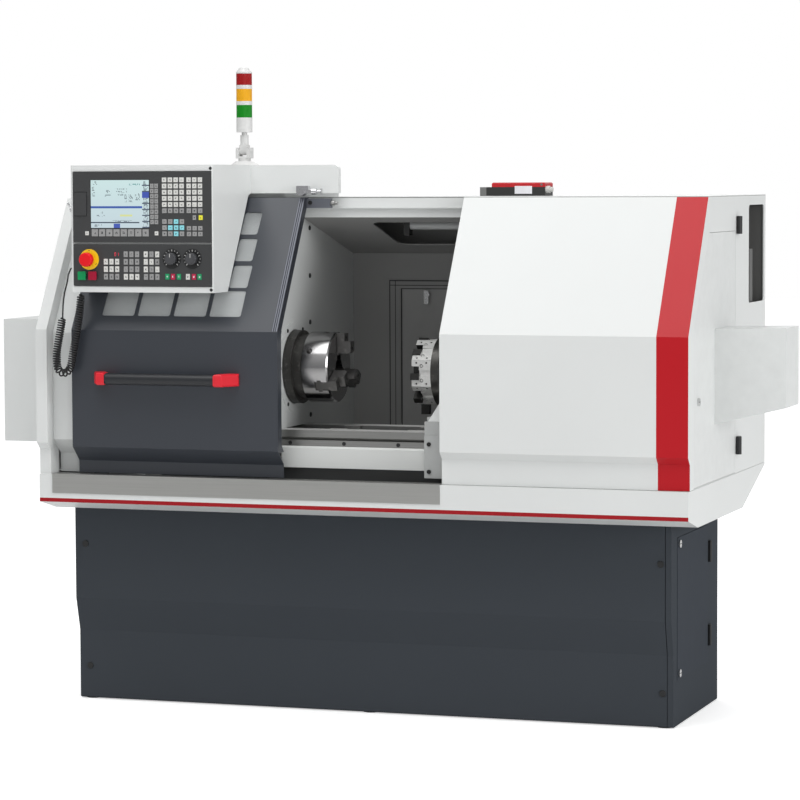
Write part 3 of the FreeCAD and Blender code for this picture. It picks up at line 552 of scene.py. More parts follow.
coatSetup = {
    # paints in one or more colours: name, first coat and the patches over it
    "white": ("whitePaint", "white", []),
    "lightGrey": ("lightGreyPaint", "lightGrey", []),
    "interior": ("interiorPaint", "interior", []),
    "slate": ("slatePaint", "slate", []),
    "doorSlate": ("doorSlatePaint", "doorSlate", []),
    "casting": ("castingPaint", "casting", []),
    "banded": ("bandedWhitePaint", "white", [(bandMask, paintSetup["red"]["colour"])]),
    # the tray: a red stripe, a darker hem, and painted shade in its trough
    "striped": ("stripedTrayPaint", "white", [(stripeMask, tone(158, 4, 18)), (hemMask, tone(118, 110, 106)),
                                              (troughShadeMask, tone(104, 104, 102))]),
    "roof": ("roofPaint", "white", [(under("z", 1455.5), paintSetup["interior"]["colour"])]),
    "rear": ("rearWallPaint", "white", [(workSideMask, paintSetup["interior"]["colour"]),
                                        (doorFrameShadeMask, tone(52, 52, 52))]),
    "endWall": ("rightEndPaint", "white", [(under("x", 1898.8), tone(96, 96, 95)),
                                           (bandMask, paintSetup["red"]["colour"])]),
}
metalSetup = {
    "ground": {"name": "groundSteel", "colour": tone(205, 205, 203), "rough": 0.28, "lines": "x"},
    "brushed": {"name": "brushedStainless", "colour": tone(178, 178, 175), "rough": 0.36, "lines": "x"},
    "turned": {"name": "turnedSteel", "colour": tone(172, 171, 171), "rough": 0.15, "lines": "turned"},
    "dark": {"name": "blackOxideSteel", "colour": tone(74, 73, 71), "rough": 0.36, "lines": "turned",
             "wear": 0.25, "metallic": 0.7},
    "jaw": {"name": "hardenedJawSteel", "colour": tone(92, 91, 90), "rough": 0.33, "wear": 0.3,
            "metallic": 0.75},
    "chrome": {"name": "chromePlate", "colour": tone(222, 222, 224), "rough": 0.12},
}
plasticSetup = {
    "black": {"name": "blackFixing", "colour": tone(24, 25, 26), "rough": 0.45},
    "panel": {"name": "panelPlastic", "colour": tone(55, 56, 57), "rough": 0.5, "texture": 0.4},
    "knob": {"name": "knobPlastic", "colour": tone(66, 67, 70), "rough": 0.42, "texture": 0.3},
    "red": {"name": "redPlastic", "colour": tone(226, 16, 28), "texture": 0.1, "specularLevel": 0.3},
    "green": {"name": "greenPlastic", "colour": tone(10, 146, 84), "texture": 0.1, "specularLevel": 0.3},
    "crimson": {"name": "crimsonPlastic", "colour": tone(166, 16, 52), "texture": 0.1,
                "specularLevel": 0.3},
    "rubber": {"name": "blackRubber", "colour": tone(26, 26, 27), "rough": 0.5, "texture": 0.3},
    "towerBody": {"name": "towerPlastic", "colour": tone(208, 208, 207), "texture": 0.15},
}
patchedSetup = {
    # each patch: where it lies, its colour, metallic share and roughness
    "lowerPanel": {"name": "lowerPanelPlastic", "base": tone(55, 56, 57), "rough": 0.46,
                   "patches": [(roundMask(188, 1284, 29.3, -53.2), tone(250, 206, 26), 0.0, 0.35)]},
    "roofUnit": {"name": "roofUnitShell", "base": tone(44, 45, 44),
                 "patches": [(over("z", 1482.2), tone(186, 28, 34), 0.0, 0.3),
                             (over("x", 1389.2), tone(196, 196, 192), 0.0, 0.4)]},
    "bracket": {"name": "bracketPaint", "base": tone(96, 99, 107),
                "patches": [(over("x", 801.2), tone(170, 170, 168), 1.0, 0.3),
                            (under("z", 1000), tone(24, 24, 24), 0.0, 0.5),
                            (roundMask(742, 1440, 5.9, 243.9), tone(18, 18, 18), 0.0, 0.5)]},
    "handle": {"name": "handlePlastic", "base": tone(32, 34, 38),
               "patches": [(handleEndMask, tone(222, 30, 46), 0.0, 0.4)]},
    "saddle": {"name": "saddlePaint", "base": tone(176, 178, 177),
               "patches": [(over("z", 849.9), tone(170, 170, 168), 1.0, 0.3),
                           (both(over("z", 838.1), under("y", 69.6)), tone(226, 228, 227), 0.0, 0.4),
                           (under("y", 51.9), tone(20, 20, 20), 0.2, 0.4)]},
    "rearDoor": {"name": "rearDoorPaint", "base": tone(172, 172, 171),
                 "patches": [(under("y", 715.8), tone(214, 214, 214), 1.0, 0.18)]},
    "service": {"name": "serviceDoorPaint", "base": tone(218, 220, 219),
                "patches": [(both(over("x", 1902.9), under("y", 130)), tone(206, 206, 206), 1.0, 0.16)]},
    "baseDoor": {"name": "baseDoorPaint", "base": tone(64, 68, 74), "rough": 0.85, "gloss": 0.04,
                 "patches": [(over("x", 1824.6), tone(206, 206, 206), 1.0, 0.16)]},
    "lamp": {"name": "lampTube", "base": tone(186, 188, 188),
             "patches": [(lampClipMask, tone(40, 40, 40), 0.0, 0.5)]},
}


def makeFinishes():
    made = {key: paint(*setup) for key, setup in coatSetup.items()}
    for maker, group in ((metal, metalSetup), (plastic, plasticSetup), (patchedMetal, patchedSetup)):
        for key, setup in group.items():
            made[key] = maker(**setup)
    made["profile"] = doorProfile()
    made["tool"] = toolFinish()
    made["clear"] = clearPanel()
    made["lens"] = lensPlastic()
    made["bed"] = bedSteel()
    print("%d finishes made" % len(made))
    return made


nodeFinish = {
    "base_frame": "slate", "base_front_panel": "slate", "levelling_feet": "dark", "chip_tray": "striped",
    "sill_plate": "brushed", "bed": "bed", "bed_front_cover": "casting", "headstock": "casting",
    "spindle_motor": "lightGrey", "drive_belt": "rubber", "left_end_wall": "white",
    "left_front_panel": "white", "end_plate": "lightGrey", "headstock_housing": "white",
    "control_box": "white", "upper_panel": "panel",
    "lower_panel": "lowerPanel", "right_cover": "banded", "right_end_wall": "endWall", "roof_panel": "roof",
    "rear_wall": "rear", "top_beam": "white", "ceiling_panel": "interior", "work_lamp": "lamp",
    "roof_unit": "roofUnit", "interlock_switch": "chrome", "tower_foot": "towerBody", "door_hinges": "black",
    "door_panel": "doorSlate", "door_glass": "clear", "door_edge_profile": "profile",
    "door_bracket": "bracket", "door_handle": "handle",
    "spindle": "ground", "chuck_back_plate": "dark", "chuck_body": "turned",
    "jaw_1": "jaw", "jaw_2": "jaw", "jaw_3": "jaw", "motor_pulley": "dark", "saddle": "saddle",
    "cross_slide": "lightGrey", "turret_disc": "dark", "tool_blocks": "tool", "tailstock": "casting",
    "quill": "ground", "service_door": "service", "base_side_door": "baseDoor", "rear_door": "rearDoor",
    "stop_mushroom": "red", "green_button": "green", "red_button": "crimson", "override_knob_1": "knob",
    "override_knob_2": "knob", "usb_cover": "panel", "tower_stem": "towerBody", "tower_lenses": "lens",
    "cover_screws": "black", "panel_keys": "white", "curly_cord": "rubber",
}


def dressFrame(finishes):
    for name, key in nodeFinish.items():
        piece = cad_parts[name]
        for slot in piece.material_slots:
            slot.material = finishes[key]


def settle(name, bm, materials, body):
    mesh = bpy.data.meshes.new(name)
    bm.to_mesh(mesh)
    bm.free()
    for material in materials:
        mesh.materials.append(material)
    piece = bpy.data.objects.new(name, mesh)
    bpy.context.collection.objects.link(piece)
    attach(piece, body)
    return piece


def block(bm, low, high, bevel=0.0, segments=2, index=0):
    middle, span = (low + high) / 2, high - low
    spot = Matrix.Translation(middle) @ Matrix.Diagonal(span.to_4d())
    made = bmesh.ops.create_cube(bm, size=1, matrix=spot)
    verts = made["verts"]
    if bevel:
        edges = list({edge for vert in verts for edge in vert.link_edges})
        cut = bmesh.ops.bevel(bm, geom=edges, offset=bevel, offset_type="OFFSET", segments=segments,
                              profile=0.5, affect="EDGES", material=-1)
        verts = cut["verts"]
    faces = {face for vert in verts for face in vert.link_faces}
    for face in faces:
        face.material_index = index
    return faces


def aimed(centre, way):
    return Matrix.Translation(centre) @ Vector(way).to_track_quat("Z", "Y").to_matrix().to_4x4()


def stub(bm, centre, way, radius, depth, bevel=0.0, sides=32, index=0, socket=None):
    # round boss that stands out from centre along way; socket is a sunk hole's radius and depth
    spot = aimed(Vector(centre) + Vector(way) * depth / 2, way)
    made = bmesh.ops.create_cone(bm, cap_ends=True, segments=sides, radius1=radius, radius2=radius,
                                 depth=depth, matrix=spot)
    faces = {face for vert in made["verts"] for face in vert.link_faces}

    def outerFace():
        ends = [face for face in faces if len(face.verts) == sides]
        return max(ends, key=lambda face: face.calc_center_median().dot(Vector(way)))

    if bevel:
        cut = bmesh.ops.bevel(bm, geom=list(outerFace().edges), offset=bevel, offset_type="OFFSET",
                              segments=3, profile=0.5, affect="EDGES", material=-1)
        faces = {face for face in faces if face.is_valid}
        faces |= {face for vert in cut["verts"] for face in vert.link_faces}
    if socket:
        cap = outerFace()
        inset = radius - bevel - socket[0]
        ring = bmesh.ops.inset_region(bm, faces=[cap], thickness=inset, use_even_offset=True)
        wall = bmesh.ops.extrude_discrete_faces(bm, faces=[cap])
        floor = wall["faces"][0]
        bmesh.ops.translate(bm, vec=Vector(way) * -socket[1], verts=floor.verts)
        faces = {face for face in faces if face.is_valid} | set(ring["faces"])
        faces |= {face for vert in floor.verts for face in vert.link_faces}
    for face in faces:
        face.material_index = index
        face.smooth = len(face.verts) == 4
    return faces


cordSetup = {
    "wire": 0.0046,         # across the wire
    "coil": 0.0236,         # across the coil
    "pitch": 0.0068,        # from turn to turn where the coil hangs straight
    "turnPoints": 12,
    "length": 3.6,
    "drawIn": 0.967,        # the curve runs this share of the way out to its points
    "endTurns": 0.9,        # at its ends the winding opens by this share in a turn
    "tightest": 0.36,       # a bend never fans the turns out by more than one over this
    "crowd": 1.06,          # closest the turns lie, in wire thicknesses
    "tail": [(127.4, -10, 1262), (112, -25, 1262), (106, -25, 1218), (96, -25, 1190),
             (91, -25, 1150), (90, -25, 1119)],
    "run": [(90, -25, 1118.5), (78, -25, 1060), (69, -26, 1012), (75, -27, 960), (112, -27, 962),
            (124, -26, 1030), (139, -23, 1105), (147, -22, 1186)],
}


def splineThrough(name, points):
    curve = bpy.data.curves.new(name, "CURVE")
    curve.dimensions = "3D"
    spline = curve.splines.new("NURBS")
    spline.points.add(len(points) - 1)
    for point, place in zip(spline.points, points):
        point.co = (*place, 1)
    spline.order_u = 3
    spline.use_endpoint_u = True
    return curve


def readLine(curve, name):
    holder = bpy.data.objects.new(name, curve)
    mesh = bpy.data.meshes.new_from_object(holder)
    line = [vert.co.copy() for vert in mesh.vertices]
    bpy.data.objects.remove(holder)
    bpy.data.meshes.remove(mesh)
    return line


def helixAlong(line):
    # walks the line and winds round it; turns fan out where the line bends
    setup = cordSetup
    radius = (setup["coil"] - setup["wire"]) / 2
    reach = [0.0]
    for a, b in zip(line, line[1:]):
        reach.append(reach[-1] + (b - a).length)
    total = reach[-1]
    side = (line[1] - line[0]).normalized().cross(Vector((0, 1, 0))).normalized()
    place, angle, step, points = 0.0, 0.0, 0, []
    while place < total:
        while step < len(line) - 2 and reach[step + 1] < place:
            step += 1
            ahead = (line[step + 1] - line[step]).normalized()
            side = (side - ahead * side.dot(ahead)).normalized()
        ahead = (line[step + 1] - line[step]).normalized()
        lastAhead = (line[max(0, step - 1) + 1] - line[max(0, step - 1)]).normalized()
        bend = ahead.angle(lastAhead, 0) / max(1e-6, reach[step + 1] - reach[step])
        fan = 1 / max(setup["tightest"], 1 - bend * radius)
        growth = setup["endTurns"] / setup["pitch"]
        grow = min(1, place * growth, (total - place) * growth)
        stretch = max(1e-9, reach[step + 1] - reach[step])
        centre = line[step].lerp(line[step + 1], (place - reach[step]) / stretch)
        other = ahead.cross(side)
        arm = side * math.cos(angle) + other * math.sin(angle)
        points.append(centre + arm * radius * grow / setup["drawIn"])
        pitch = max(setup["pitch"], setup["wire"] * setup["crowd"] * fan)
        place += pitch / setup["turnPoints"]
        angle += 2 * math.pi / setup["turnPoints"]
    return points


def curlyCord(finishes):
    setup = cordSetup
    tail = [at(*point) for point in setup["tail"]]
    line = readLine(splineThrough("cordRoute", [at(*point) for point in setup["run"]]), "cordRoute")
    wound = helixAlong(line)
    curve = splineThrough("curly_cord_wire", tail[:-1] + wound + [line[-1]])
    curve.splines[0].resolution_u = 2
    measured = readLine(curve, "cordMeasure")
    length = sum((b - a).length for a, b in zip(measured, measured[1:]))
    print("curly cord: %d points, %.3f m of wire" % (len(curve.splines[0].points), length))
    curve.bevel_depth = setup["wire"] / 2
    curve.bevel_resolution = 2
    curve.use_fill_caps = True
    curve.materials.append(finishes["rubber"])
    cord = bpy.data.objects.new("curly_cord_wire", curve)
    bpy.context.collection.objects.link(cord)
    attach(cord, "machine")
    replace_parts(cord, "curly_cord")


makeCamera()
makeStudio()
print("studio lit")
finishes = makeFinishes()
dressFrame(finishes)
print("frame dressed")
curlyCord(finishes)
print("cord made")


screwSetup = {
    "plug": {"radius": 9.5, "stand": 3.0, "x": (80, 1793), "places": ((136, 456), (161, 97))},
    "rail": {"radius": 5.5, "stand": 2.2, "first": 735, "gap": 160, "count": 8, "y": 88, "z": 768.5},
    "cover": {"radius": 7, "stand": 2.6, "x": 700, "y": 344, "z": (1367, 1230, 1096, 829)},
    "ring": {"radius": 5.5, "stand": 2.2, "x": 703, "reach": 120, "count": 6},
    "control": {"radius": 4.5, "stand": 1.4, "x": 555.5, "y": -50, "z": (1538, 1200.5)},
}


def coverScrews(finishes):
    # black button heads with sunk sockets; round plugs on the stand
    s = screwSetup
    bm = bmesh.new()
    front, inner = (0, -1, 0), (1, 0, 0)

    def screw(kind, x, y, z, way):
        radius, stand = s[kind]["radius"] / 1000, s[kind]["stand"] / 1000
        socket = None if kind == "plug" else (radius * 0.42, stand * 0.6)
        stub(bm, at(x, y, z), way, radius, stand, stand * 0.45, 20, socket=socket)

    for x in s["plug"]["x"]:
        for y, z in s["plug"]["places"]:
            screw("plug", x, y, z, front)
    for step in range(s["rail"]["count"]):
        screw("rail", s["rail"]["first"] + s["rail"]["gap"] * step, s["rail"]["y"], s["rail"]["z"], front)
    for z in s["cover"]["z"]:
        screw("cover", s["cover"]["x"], s["cover"]["y"], z, inner)
    for step in range(s["ring"]["count"]):
        turn = 2 * math.pi * step / s["ring"]["count"]
        y = turningLine[0] + s["ring"]["reach"] * math.cos(turn)
        z = turningLine[1] + s["ring"]["reach"] * math.sin(turn)
        screw("ring", s["ring"]["x"], y, z, inner)
    for z in s["control"]["z"]:
        screw("control", s["control"]["x"], s["control"]["y"], z, front)
    screws = settle("cover_screw_heads", bm, [finishes["black"]], "machine")
    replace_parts(screws, "cover_screws")


keySetup = {"face": -53.0, "stand": 1.4, "bevel": 0.45, "sheet": 20}   # sheet: marks in a row of the map
keyTones = ("white", "grey", "yellow", "cyan", "green", "crimson")
keyBlocks = [
    # left, right, low, high, columns, rows, gap, tone of each row from the bottom
    (411, 477, 1414, 1513, 4, 6, 4, "grey white white white white white"),
    (485, 532, 1414, 1513, 3, 6, 4, "grey white white white white white"),
    (411, 477, 1350, 1397, 4, 3, 4, "grey,grey,cyan,grey grey,cyan,cyan,cyan grey,grey,cyan,grey"),
    (485, 532, 1350, 1378, 3, 2, 4, "grey grey"),
    (503, 513, 1395, 1408, 1, 1, 4, "grey"),
    (521, 533, 1395, 1408, 1, 1, 4, "yellow"),
    (375, 399, 1383, 1496, 2, 8, 2, "grey grey grey grey grey grey grey grey"),
    (196, 370, 1349, 1369, 8, 1, 3, "grey"),
    (176, 187, 1352, 1363, 1, 1, 2, "white"),
    (388, 399, 1352, 1363, 1, 1, 2, "white"),
    (232, 279, 1228, 1286, 3, 3, 5, "grey white white"),
    (293, 340, 1228, 1286, 3, 3, 5, "white grey grey"),
    (354, 401, 1228, 1286, 3, 3, 5, "grey white,grey,white white,white,grey"),
    (293, 340, 1291, 1307, 3, 1, 5, "grey"),
    (354, 401, 1291, 1307, 3, 1, 5, "white,grey,white"),
]
feedSetup = {
    "low": 1229, "width": 12, "height": 16,
    "keys": ((425, "green"), (442, "crimson"), (460, "green"),
             (487, "white"), (505, "crimson"), (522, "green")),
}


def keyPlastic(name, colour, ink):
    # each cap carries a small mark of its own, told apart by the whole part of its UV
    finish = Finish(name)
    u, v = finish.spread(finish.node("ShaderNodeUVMap"))[:2]
    across, up = (u.part() - 0.5) * 2, (v.part() - 0.5) * 2
    cell = finish.node("ShaderNodeCombineXYZ", None, {0: (u * 9).whole(), 1: (v * 9).whole(), 2: 3.7})
    dot = finish.node("ShaderNodeTexWhiteNoise", None, {"Vector": cell}) > 0.45
    mark = dot * (abs(across) < 0.34) * (abs(up) < 0.34)
    worn = finish.grain(55, 3.0)
    cap = finish.mix(worn, shade(colour, 0.93), shade(colour, 1.05))
    finish.feed(baseColor=finish.mix(mark * 0.85, cap, ink), roughness=0.4 + worn * 0.1)
    return finish.relief(finish.grain(1200, 1.0), 0.15, 0.0001).material


def panelKeys():
    ink, pale = tone(40, 42, 46), tone(232, 234, 234)
    caps = [keyPlastic("keyWhite", tone(214, 214, 210), ink),
            keyPlastic("keyGrey", tone(150, 150, 150), ink),
            keyPlastic("keyYellow", tone(232, 226, 60), ink),
            keyPlastic("keyCyan", tone(140, 216, 226), ink),
            keyPlastic("keyGreen", tone(20, 150, 96), pale),
            keyPlastic("keyCrimson", tone(184, 28, 70), pale)]
    bm = bmesh.new()
    uv = bm.loops.layers.uv.new("UVMap")
    face, stand, sheet = keySetup["face"], keySetup["stand"], keySetup["sheet"]
    bevel = keySetup["bevel"] / 1000
    count = 0

    def cap(x, z, width, height, name):
        low, high = at(x, face - stand, z), at(x + width, face, z + height)
        for side in block(bm, low, high, bevel, 2, keyTones.index(name)):
            for loop in side.loops:
                place = loop.vert.co
                across = min(0.999, max(0.001, (place.x - low.x) / (high.x - low.x)))
                up = min(0.999, max(0.001, (place.z - low.z) / (high.z - low.z)))
                loop[uv].uv = (count % sheet + across, count // sheet + up)

    for left, right, low, high, columns, rows, gap, tones in keyBlocks:
        width = (right - left - gap * (columns - 1)) / columns
        height = (high - low - gap * (rows - 1)) / rows
        for row, words in enumerate(tones.split()):
            names = words.split(",") * columns
            for column in range(columns):
                cap(left + column * (width + gap), low + row * (height + gap), width, height, names[column])
                count += 1
    for x, name in feedSetup["keys"]:
        cap(x - feedSetup["width"] / 2, feedSetup["low"], feedSetup["width"], feedSetup["height"], name)
        count += 1
    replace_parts(settle("panel_key_caps", bm, caps, "machine"), "panel_keys")
    print("%d key caps" % count)


pageSetup = {
    # shares of the glass: left, right, low, high
    "fields": [(0.03, 0.11, 0.90, 0.98), (0.02, 0.07, 0.66, 0.86), (0.24, 0.36, 0.72, 0.79),
               (0.24, 0.36, 0.66, 0.70), (0.42, 0.62, 0.80, 0.83), (0.44, 0.62, 0.74, 0.78),
               (0.46, 0.56, 0.68, 0.71), (0.58, 0.62, 0.54, 0.70), (0.65, 0.72, 0.54, 0.70),
               (0.76, 0.84, 0.58, 0.72), (0.10, 0.24, 0.24, 0.27), (0.17, 0.21, 0.30, 0.34),
               (0.37, 0.70, 0.13, 0.16), (0.06, 0.22, 0.02, 0.07), (0.90, 0.98, 0.03, 0.97)],
    "bars": [(0.0, 0.88, 0.41, 0.455, tone(54, 92, 176)), (0.0, 0.83, 0.10, 0.125, tone(60, 74, 92)),
             (0.39, 0.50, 0.0, 0.09, tone(62, 88, 184))],
    "notice": (0.5, 0.71, 0.24, 0.28, tone(226, 232, 160)),
    "heading": (0.66, 0.86, 0.89, 0.93, tone(70, 150, 150)),
    "choices": 0.88,               # the column of choices starts here
    "chosen": (0.625, 0.75),
    "specks": (64, 40),            # marks across and up
}


def screenPicture():
    # a control's working page: fields, a blue bar, a column of choices, a foot line
    s = pageSetup
    finish = Finish("screenPicture", emissionStrength=0.86)
    u, v = finish.spread(finish.node("ShaderNodeUVMap"))[:2]

    def area(left, right, low, high):
        return u.between(left, right) * v.between(low, high)

    page = finish.mix(v, tone(206, 224, 232), tone(214, 240, 240))
    across, up = s["specks"]
    cell = finish.node("ShaderNodeCombineXYZ", None, {0: (u * across).whole(), 1: (v * up).whole(), 2: 1.3})
    speck = finish.node("ShaderNodeTexWhiteNoise", None, {"Vector": cell}) > 0.52
    speck = speck * (v * up).part().between(0.15, 0.85)
    written = area(*s["fields"][0])
    for field in s["fields"][1:]:
        written = written.widest(area(*field))
    page = finish.mix(area(*s["notice"][:4]), page, s["notice"][4])
    page = finish.mix(area(*s["heading"][:4]) * speck, page, s["heading"][4])
    page = finish.mix(speck * written * 0.8, page, tone(38, 52, 70))
    for *place, colour in s["bars"]:
        page = finish.mix(area(*place), page, colour)
    side = u > s["choices"]
    page = finish.mix(side * ((v * 8).part() < 0.2), page, tone(70, 84, 104))
    page = finish.mix(side * v.between(*s["chosen"]), page, tone(56, 82, 180))
    finish.feed(baseColor=(0.02, 0.02, 0.02, 1), emissionColor=page)
    finish.feed(roughness=0.2 + finish.grain(40, 2.0) * 0.08)
    return finish.material


screenSetup = {
    "left": 193.6, "right": 371.4, "low": 1372.6, "high": 1506.4,
    "face": -52.5, "depth": 0.25,
    "rim": 1.6, "rimFront": -53.5, "rimBack": -52.6,   # bezel round the glass
}


def screenDisplay(finishes):
    s = screenSetup
    bm = bmesh.new()
    uv = bm.loops.layers.uv.new("UVMap")
    low, high = at(s["left"], s["face"], s["low"]), at(s["right"], s["face"] + s["depth"], s["high"])
    for side in block(bm, low, high):
        for loop in side.loops:
            place = loop.vert.co
            loop[uv].uv = ((place.x - low.x) / (high.x - low.x), (place.z - low.z) / (high.z - low.z))
    settle("screen_display", bm, [screenPicture()], "machine")
    bm = bmesh.new()
    rim = s["rim"]
    for x0, x1, z0, z1 in ((s["left"] - rim, s["left"], s["low"] - rim, s["high"] + rim),
                           (s["right"], s["right"] + rim, s["low"] - rim, s["high"] + rim),
                           (s["left"], s["right"], s["low"] - rim, s["low"]),
                           (s["left"], s["right"], s["high"], s["high"] + rim)):
        block(bm, at(x0, s["rimFront"], z0), at(x1, s["rimBack"], z1), 0.0002)
    settle("screen_bezel", bm, [finishes["black"]], "machine")


dialSetup = {
    "knobs": ((438.7, "override_knob_1"), (500.5, "override_knob_2")),
    "height": 1287, "inner": 21.5, "outer": 25.5, "plate": 28.3,
    "ticks": 13, "sweep": 270.0, "long": 3,   # every third tick is long
}


def turnedTo(middle, turn, span):
    # a box's matrix: turned about the y axis at its place, then stretched
    return Matrix.Translation(middle) @ Matrix.Rotation(turn, 4, "Y") @ Matrix.Diagonal(span.to_4d())


def dialMarks():
    # printed scale round each override knob: ticks and a dark plate under them
    s = dialSetup
    bm = bmesh.new()
    for x, _ in s["knobs"]:
        stub(bm, at(x, -53.0, s["height"]), (0, -1, 0), s["plate"] / 1000, 0.0003, 0.0001, 48, index=1)
        for step in range(s["ticks"]):
            turn = math.radians(90 + s["sweep"] / 2 - s["sweep"] * step / (s["ticks"] - 1))
            isLong = step % s["long"] == 0
            inner = s["inner"] - (1.2 if isLong else 0)
            arm = Vector((math.cos(turn), 0, math.sin(turn)))
            middle = at(x, -53.4, s["height"]) + arm * (inner + s["outer"]) / 2000
            span = sizeAt(s["outer"] - inner, 0.2, 1.8 if isLong else 1.1)
            bmesh.ops.create_cube(bm, size=1, matrix=turnedTo(middle, -turn, span))
    plate = plastic("dialPlate", tone(22, 23, 24), 0.4, 0.2)
    scale = plastic("dialPrint", tone(206, 206, 204), 0.5, 0.1)
    settle("dial_marks", bm, [scale, plate], "machine")


gripSetup = {
    # radius, depth and bevel of each turned step, in metres, and the y it stands on
    "grip": (0.0172, 0.0140, 0.0016), "gripFrom": -55.0,
    "crown": (0.0128, 0.0008, 0.0003), "crownFrom": -69.0,
    "stem": (0.0046, 0.0105, 0.0), "stemFrom": -45.0,
    "ribs": 12, "ribDepth": 0.045,
}


def ribbedKnobs(finishes):
    # turned grip with a scalloped edge, a crowned face and a painted pointer
    s = gripSetup
    front, height = (0, -1, 0), dialSetup["height"]
    for x, body in dialSetup["knobs"]:
        bm = bmesh.new()
        hub = at(x, s["gripFrom"], height)
        stub(bm, hub, front, *s["grip"], 48)
        for vert in bm.verts:
            arm = vert.co - hub
            reach = math.hypot(arm.x, arm.z)
            if reach > 0.0155 and arm.y < -0.0005:
                turn = math.atan2(arm.z, arm.x)
                share = 1 - s["ribDepth"] + s["ribDepth"] * math.cos(turn * s["ribs"])
                vert.co.x, vert.co.z = hub.x + arm.x * share, hub.z + arm.z * share
        stub(bm, at(x, s["crownFrom"], height), front, *s["crown"], 32)
        block(bm, at(x - 0.8, -70.0, height + 4), at(x + 0.8, -69.7, height + 13.5), 0.0002, 1, 1)
        stub(bm, at(x, s["stemFrom"], height), front, *s["stem"], 24)
        pointer = plastic(body + "Pointer", tone(220, 220, 218), 0.4)
        knob = settle(body + "_grip", bm, [finishes["knob"], pointer], body)
        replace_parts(knob, body)


readoutSetup = {
    "glass": ((262, -54.3, 1291.5), (281, -53, 1306.5)),
    "digits": ((265.5, (0, 2, 3, 4, 5, 6)), (273.5, (4, 6))),   # left edge and lit strokes
    "foot": 1294, "face": -54.5, "back": -54.2,
    # strokes of a digit: shift right and up, width, height
    "strokes": ((0, 0, 4, 0.9), (0, 4.6, 4, 0.9), (0, 9.2, 4, 0.9), (-0.1, 0.6, 0.9, 4.2),
                (3.2, 0.6, 0.9, 4.2), (-0.1, 5.2, 0.9, 4.2), (3.2, 5.2, 0.9, 4.2)),
}


def digitDisplay(finishes):
    # two-digit tool readout: a dark glass with lit strokes
    s = readoutSetup
    bm = bmesh.new()
    low, high = s["glass"]
    block(bm, at(*low), at(*high), 0.0004, 2, 0)
    for x, lit in s["digits"]:
        for index in lit:
            dx, dz, width, height = s["strokes"][index]
            foot = s["foot"] + dz
            block(bm, at(x + dx, s["face"], foot), at(x + dx + width, s["back"], foot + height), 0.0, 1, 1)
    glow = Finish("litStroke", emissionStrength=0.8, roughness=0.4)
    glowColour = glow.mix(glow.grain(200, 2.0), tone(190, 20, 50), tone(226, 44, 72))
    glow.feed(baseColor=glowColour, emissionColor=glowColour)
    settle("tool_readout", bm, [finishes["panel"], glow.material], "machine")


stopSetup = {"centre": (188, -56.05, 1284), "reach": 24.7, "mark": (6, 0.2, 1.3), "count": 3}


def stopMarks(finishes):
    # printed marks round the stop button's yellow disc
    s = stopSetup
    bm = bmesh.new()
    for step in range(s["count"]):
        turn = math.radians(90 + 360 / s["count"] * step)
        middle = at(*s["centre"]) + Vector((math.cos(turn), 0, math.sin(turn))) * s["reach"] / 1000
        spot = turnedTo(middle, -turn - math.pi / 2, sizeAt(*s["mark"]))
        bmesh.ops.create_cube(bm, size=1, matrix=spot)
    settle("stop_disc_marks", bm, [finishes["black"]], "machine")


hookSetup = {
    "y": -10, "z": 1424,
    # x it stands on, way, radius, depth, bevel, sides
    "steps": ((130, (-1, 0, 0), 0.010, 0.003, 0.001, 32),
              (127.2, (-1, 0, 0), 0.0045, 0.013, 0.0008, 24),
              (115.2, (-1, 0, 0), 0.0085, 0.0035, 0.0015, 32),
              (113.4, (-0.5, 0, 0.86), 0.003, 0.022, 0.001, 16)),
}


def boxHook(finishes):
    # cable hook on the control box's left side
    bm = bmesh.new()
    for x, *shape in hookSetup["steps"]:
        stub(bm, at(x, hookSetup["y"], hookSetup["z"]), *shape)
    settle("box_hook", bm, [finishes["chrome"]], "machine")


roofSetup = {
    "label": ((1300, 399.4, 1463), (1351, 400, 1485)),
    "cap": ((1197, 399.2, 1458), (1216, 400, 1482)),
    "screws": ((1209, 1470), (1379, 1489)),
}


def roofLabel():
    # blank label, end cap and two screws of the roof device
    s = roofSetup
    bm = bmesh.new()
    block(bm, at(*s["label"][0]), at(*s["label"][1]), 0.0002, 2, 0)
    block(bm, at(*s["cap"][0]), at(*s["cap"][1]), 0.0003, 2, 1)
    for x, z in s["screws"]:
        stub(bm, at(x, 400, z), (0, -1, 0), 0.0032, 0.0012, 0.0004, 20, index=1, socket=(0.0013, 0.0008))
    label = plastic("labelCard", tone(228, 228, 232), 0.5, 0.05)
    cap = plastic("capPlastic", tone(112, 113, 112), 0.45, 0.2)
    settle("roof_unit_label", bm, [label, cap], "machine")


sealSetup = {
    "outer": (851.5, 1152.5, 696.5, 1182.5),
    "inner": (854.4, 1149.6, 699.4, 1179.6),
    "deep": (713.4, 715.9),
    "handle": (935, 704.5, 1164), "button": (935, 701.2, 1143),
}


def rearDoorSeal(finishes):
    # rubber bead round the rear door, and the bright handle on its latch
    outer, inner, deep = sealSetup["outer"], sealSetup["inner"], sealSetup["deep"]
    bm = bmesh.new()
    for x0, x1, z0, z1 in ((outer[0], inner[0], outer[2], outer[3]),
                           (inner[1], outer[1], outer[2], outer[3]),
                           (inner[0], inner[1], outer[2], inner[2]),
                           (inner[0], inner[1], inner[3], outer[3])):
        block(bm, at(x0, deep[0], z0), at(x1, deep[1], z1), 0.0004)
    settle("rear_door_seal", bm, [finishes["rubber"]], "machine")
    bm = bmesh.new()
    stub(bm, at(*sealSetup["handle"]), (0, -1, 0), 0.0092, 0.0035, 0.0012, 32, socket=(0.004, 0.001))
    stub(bm, at(*sealSetup["button"]), (0, -1, 0), 0.0068, 0.0016, 0.0006, 24)
    settle("rear_door_latch_trim", bm, [finishes["chrome"]], "rear_door")


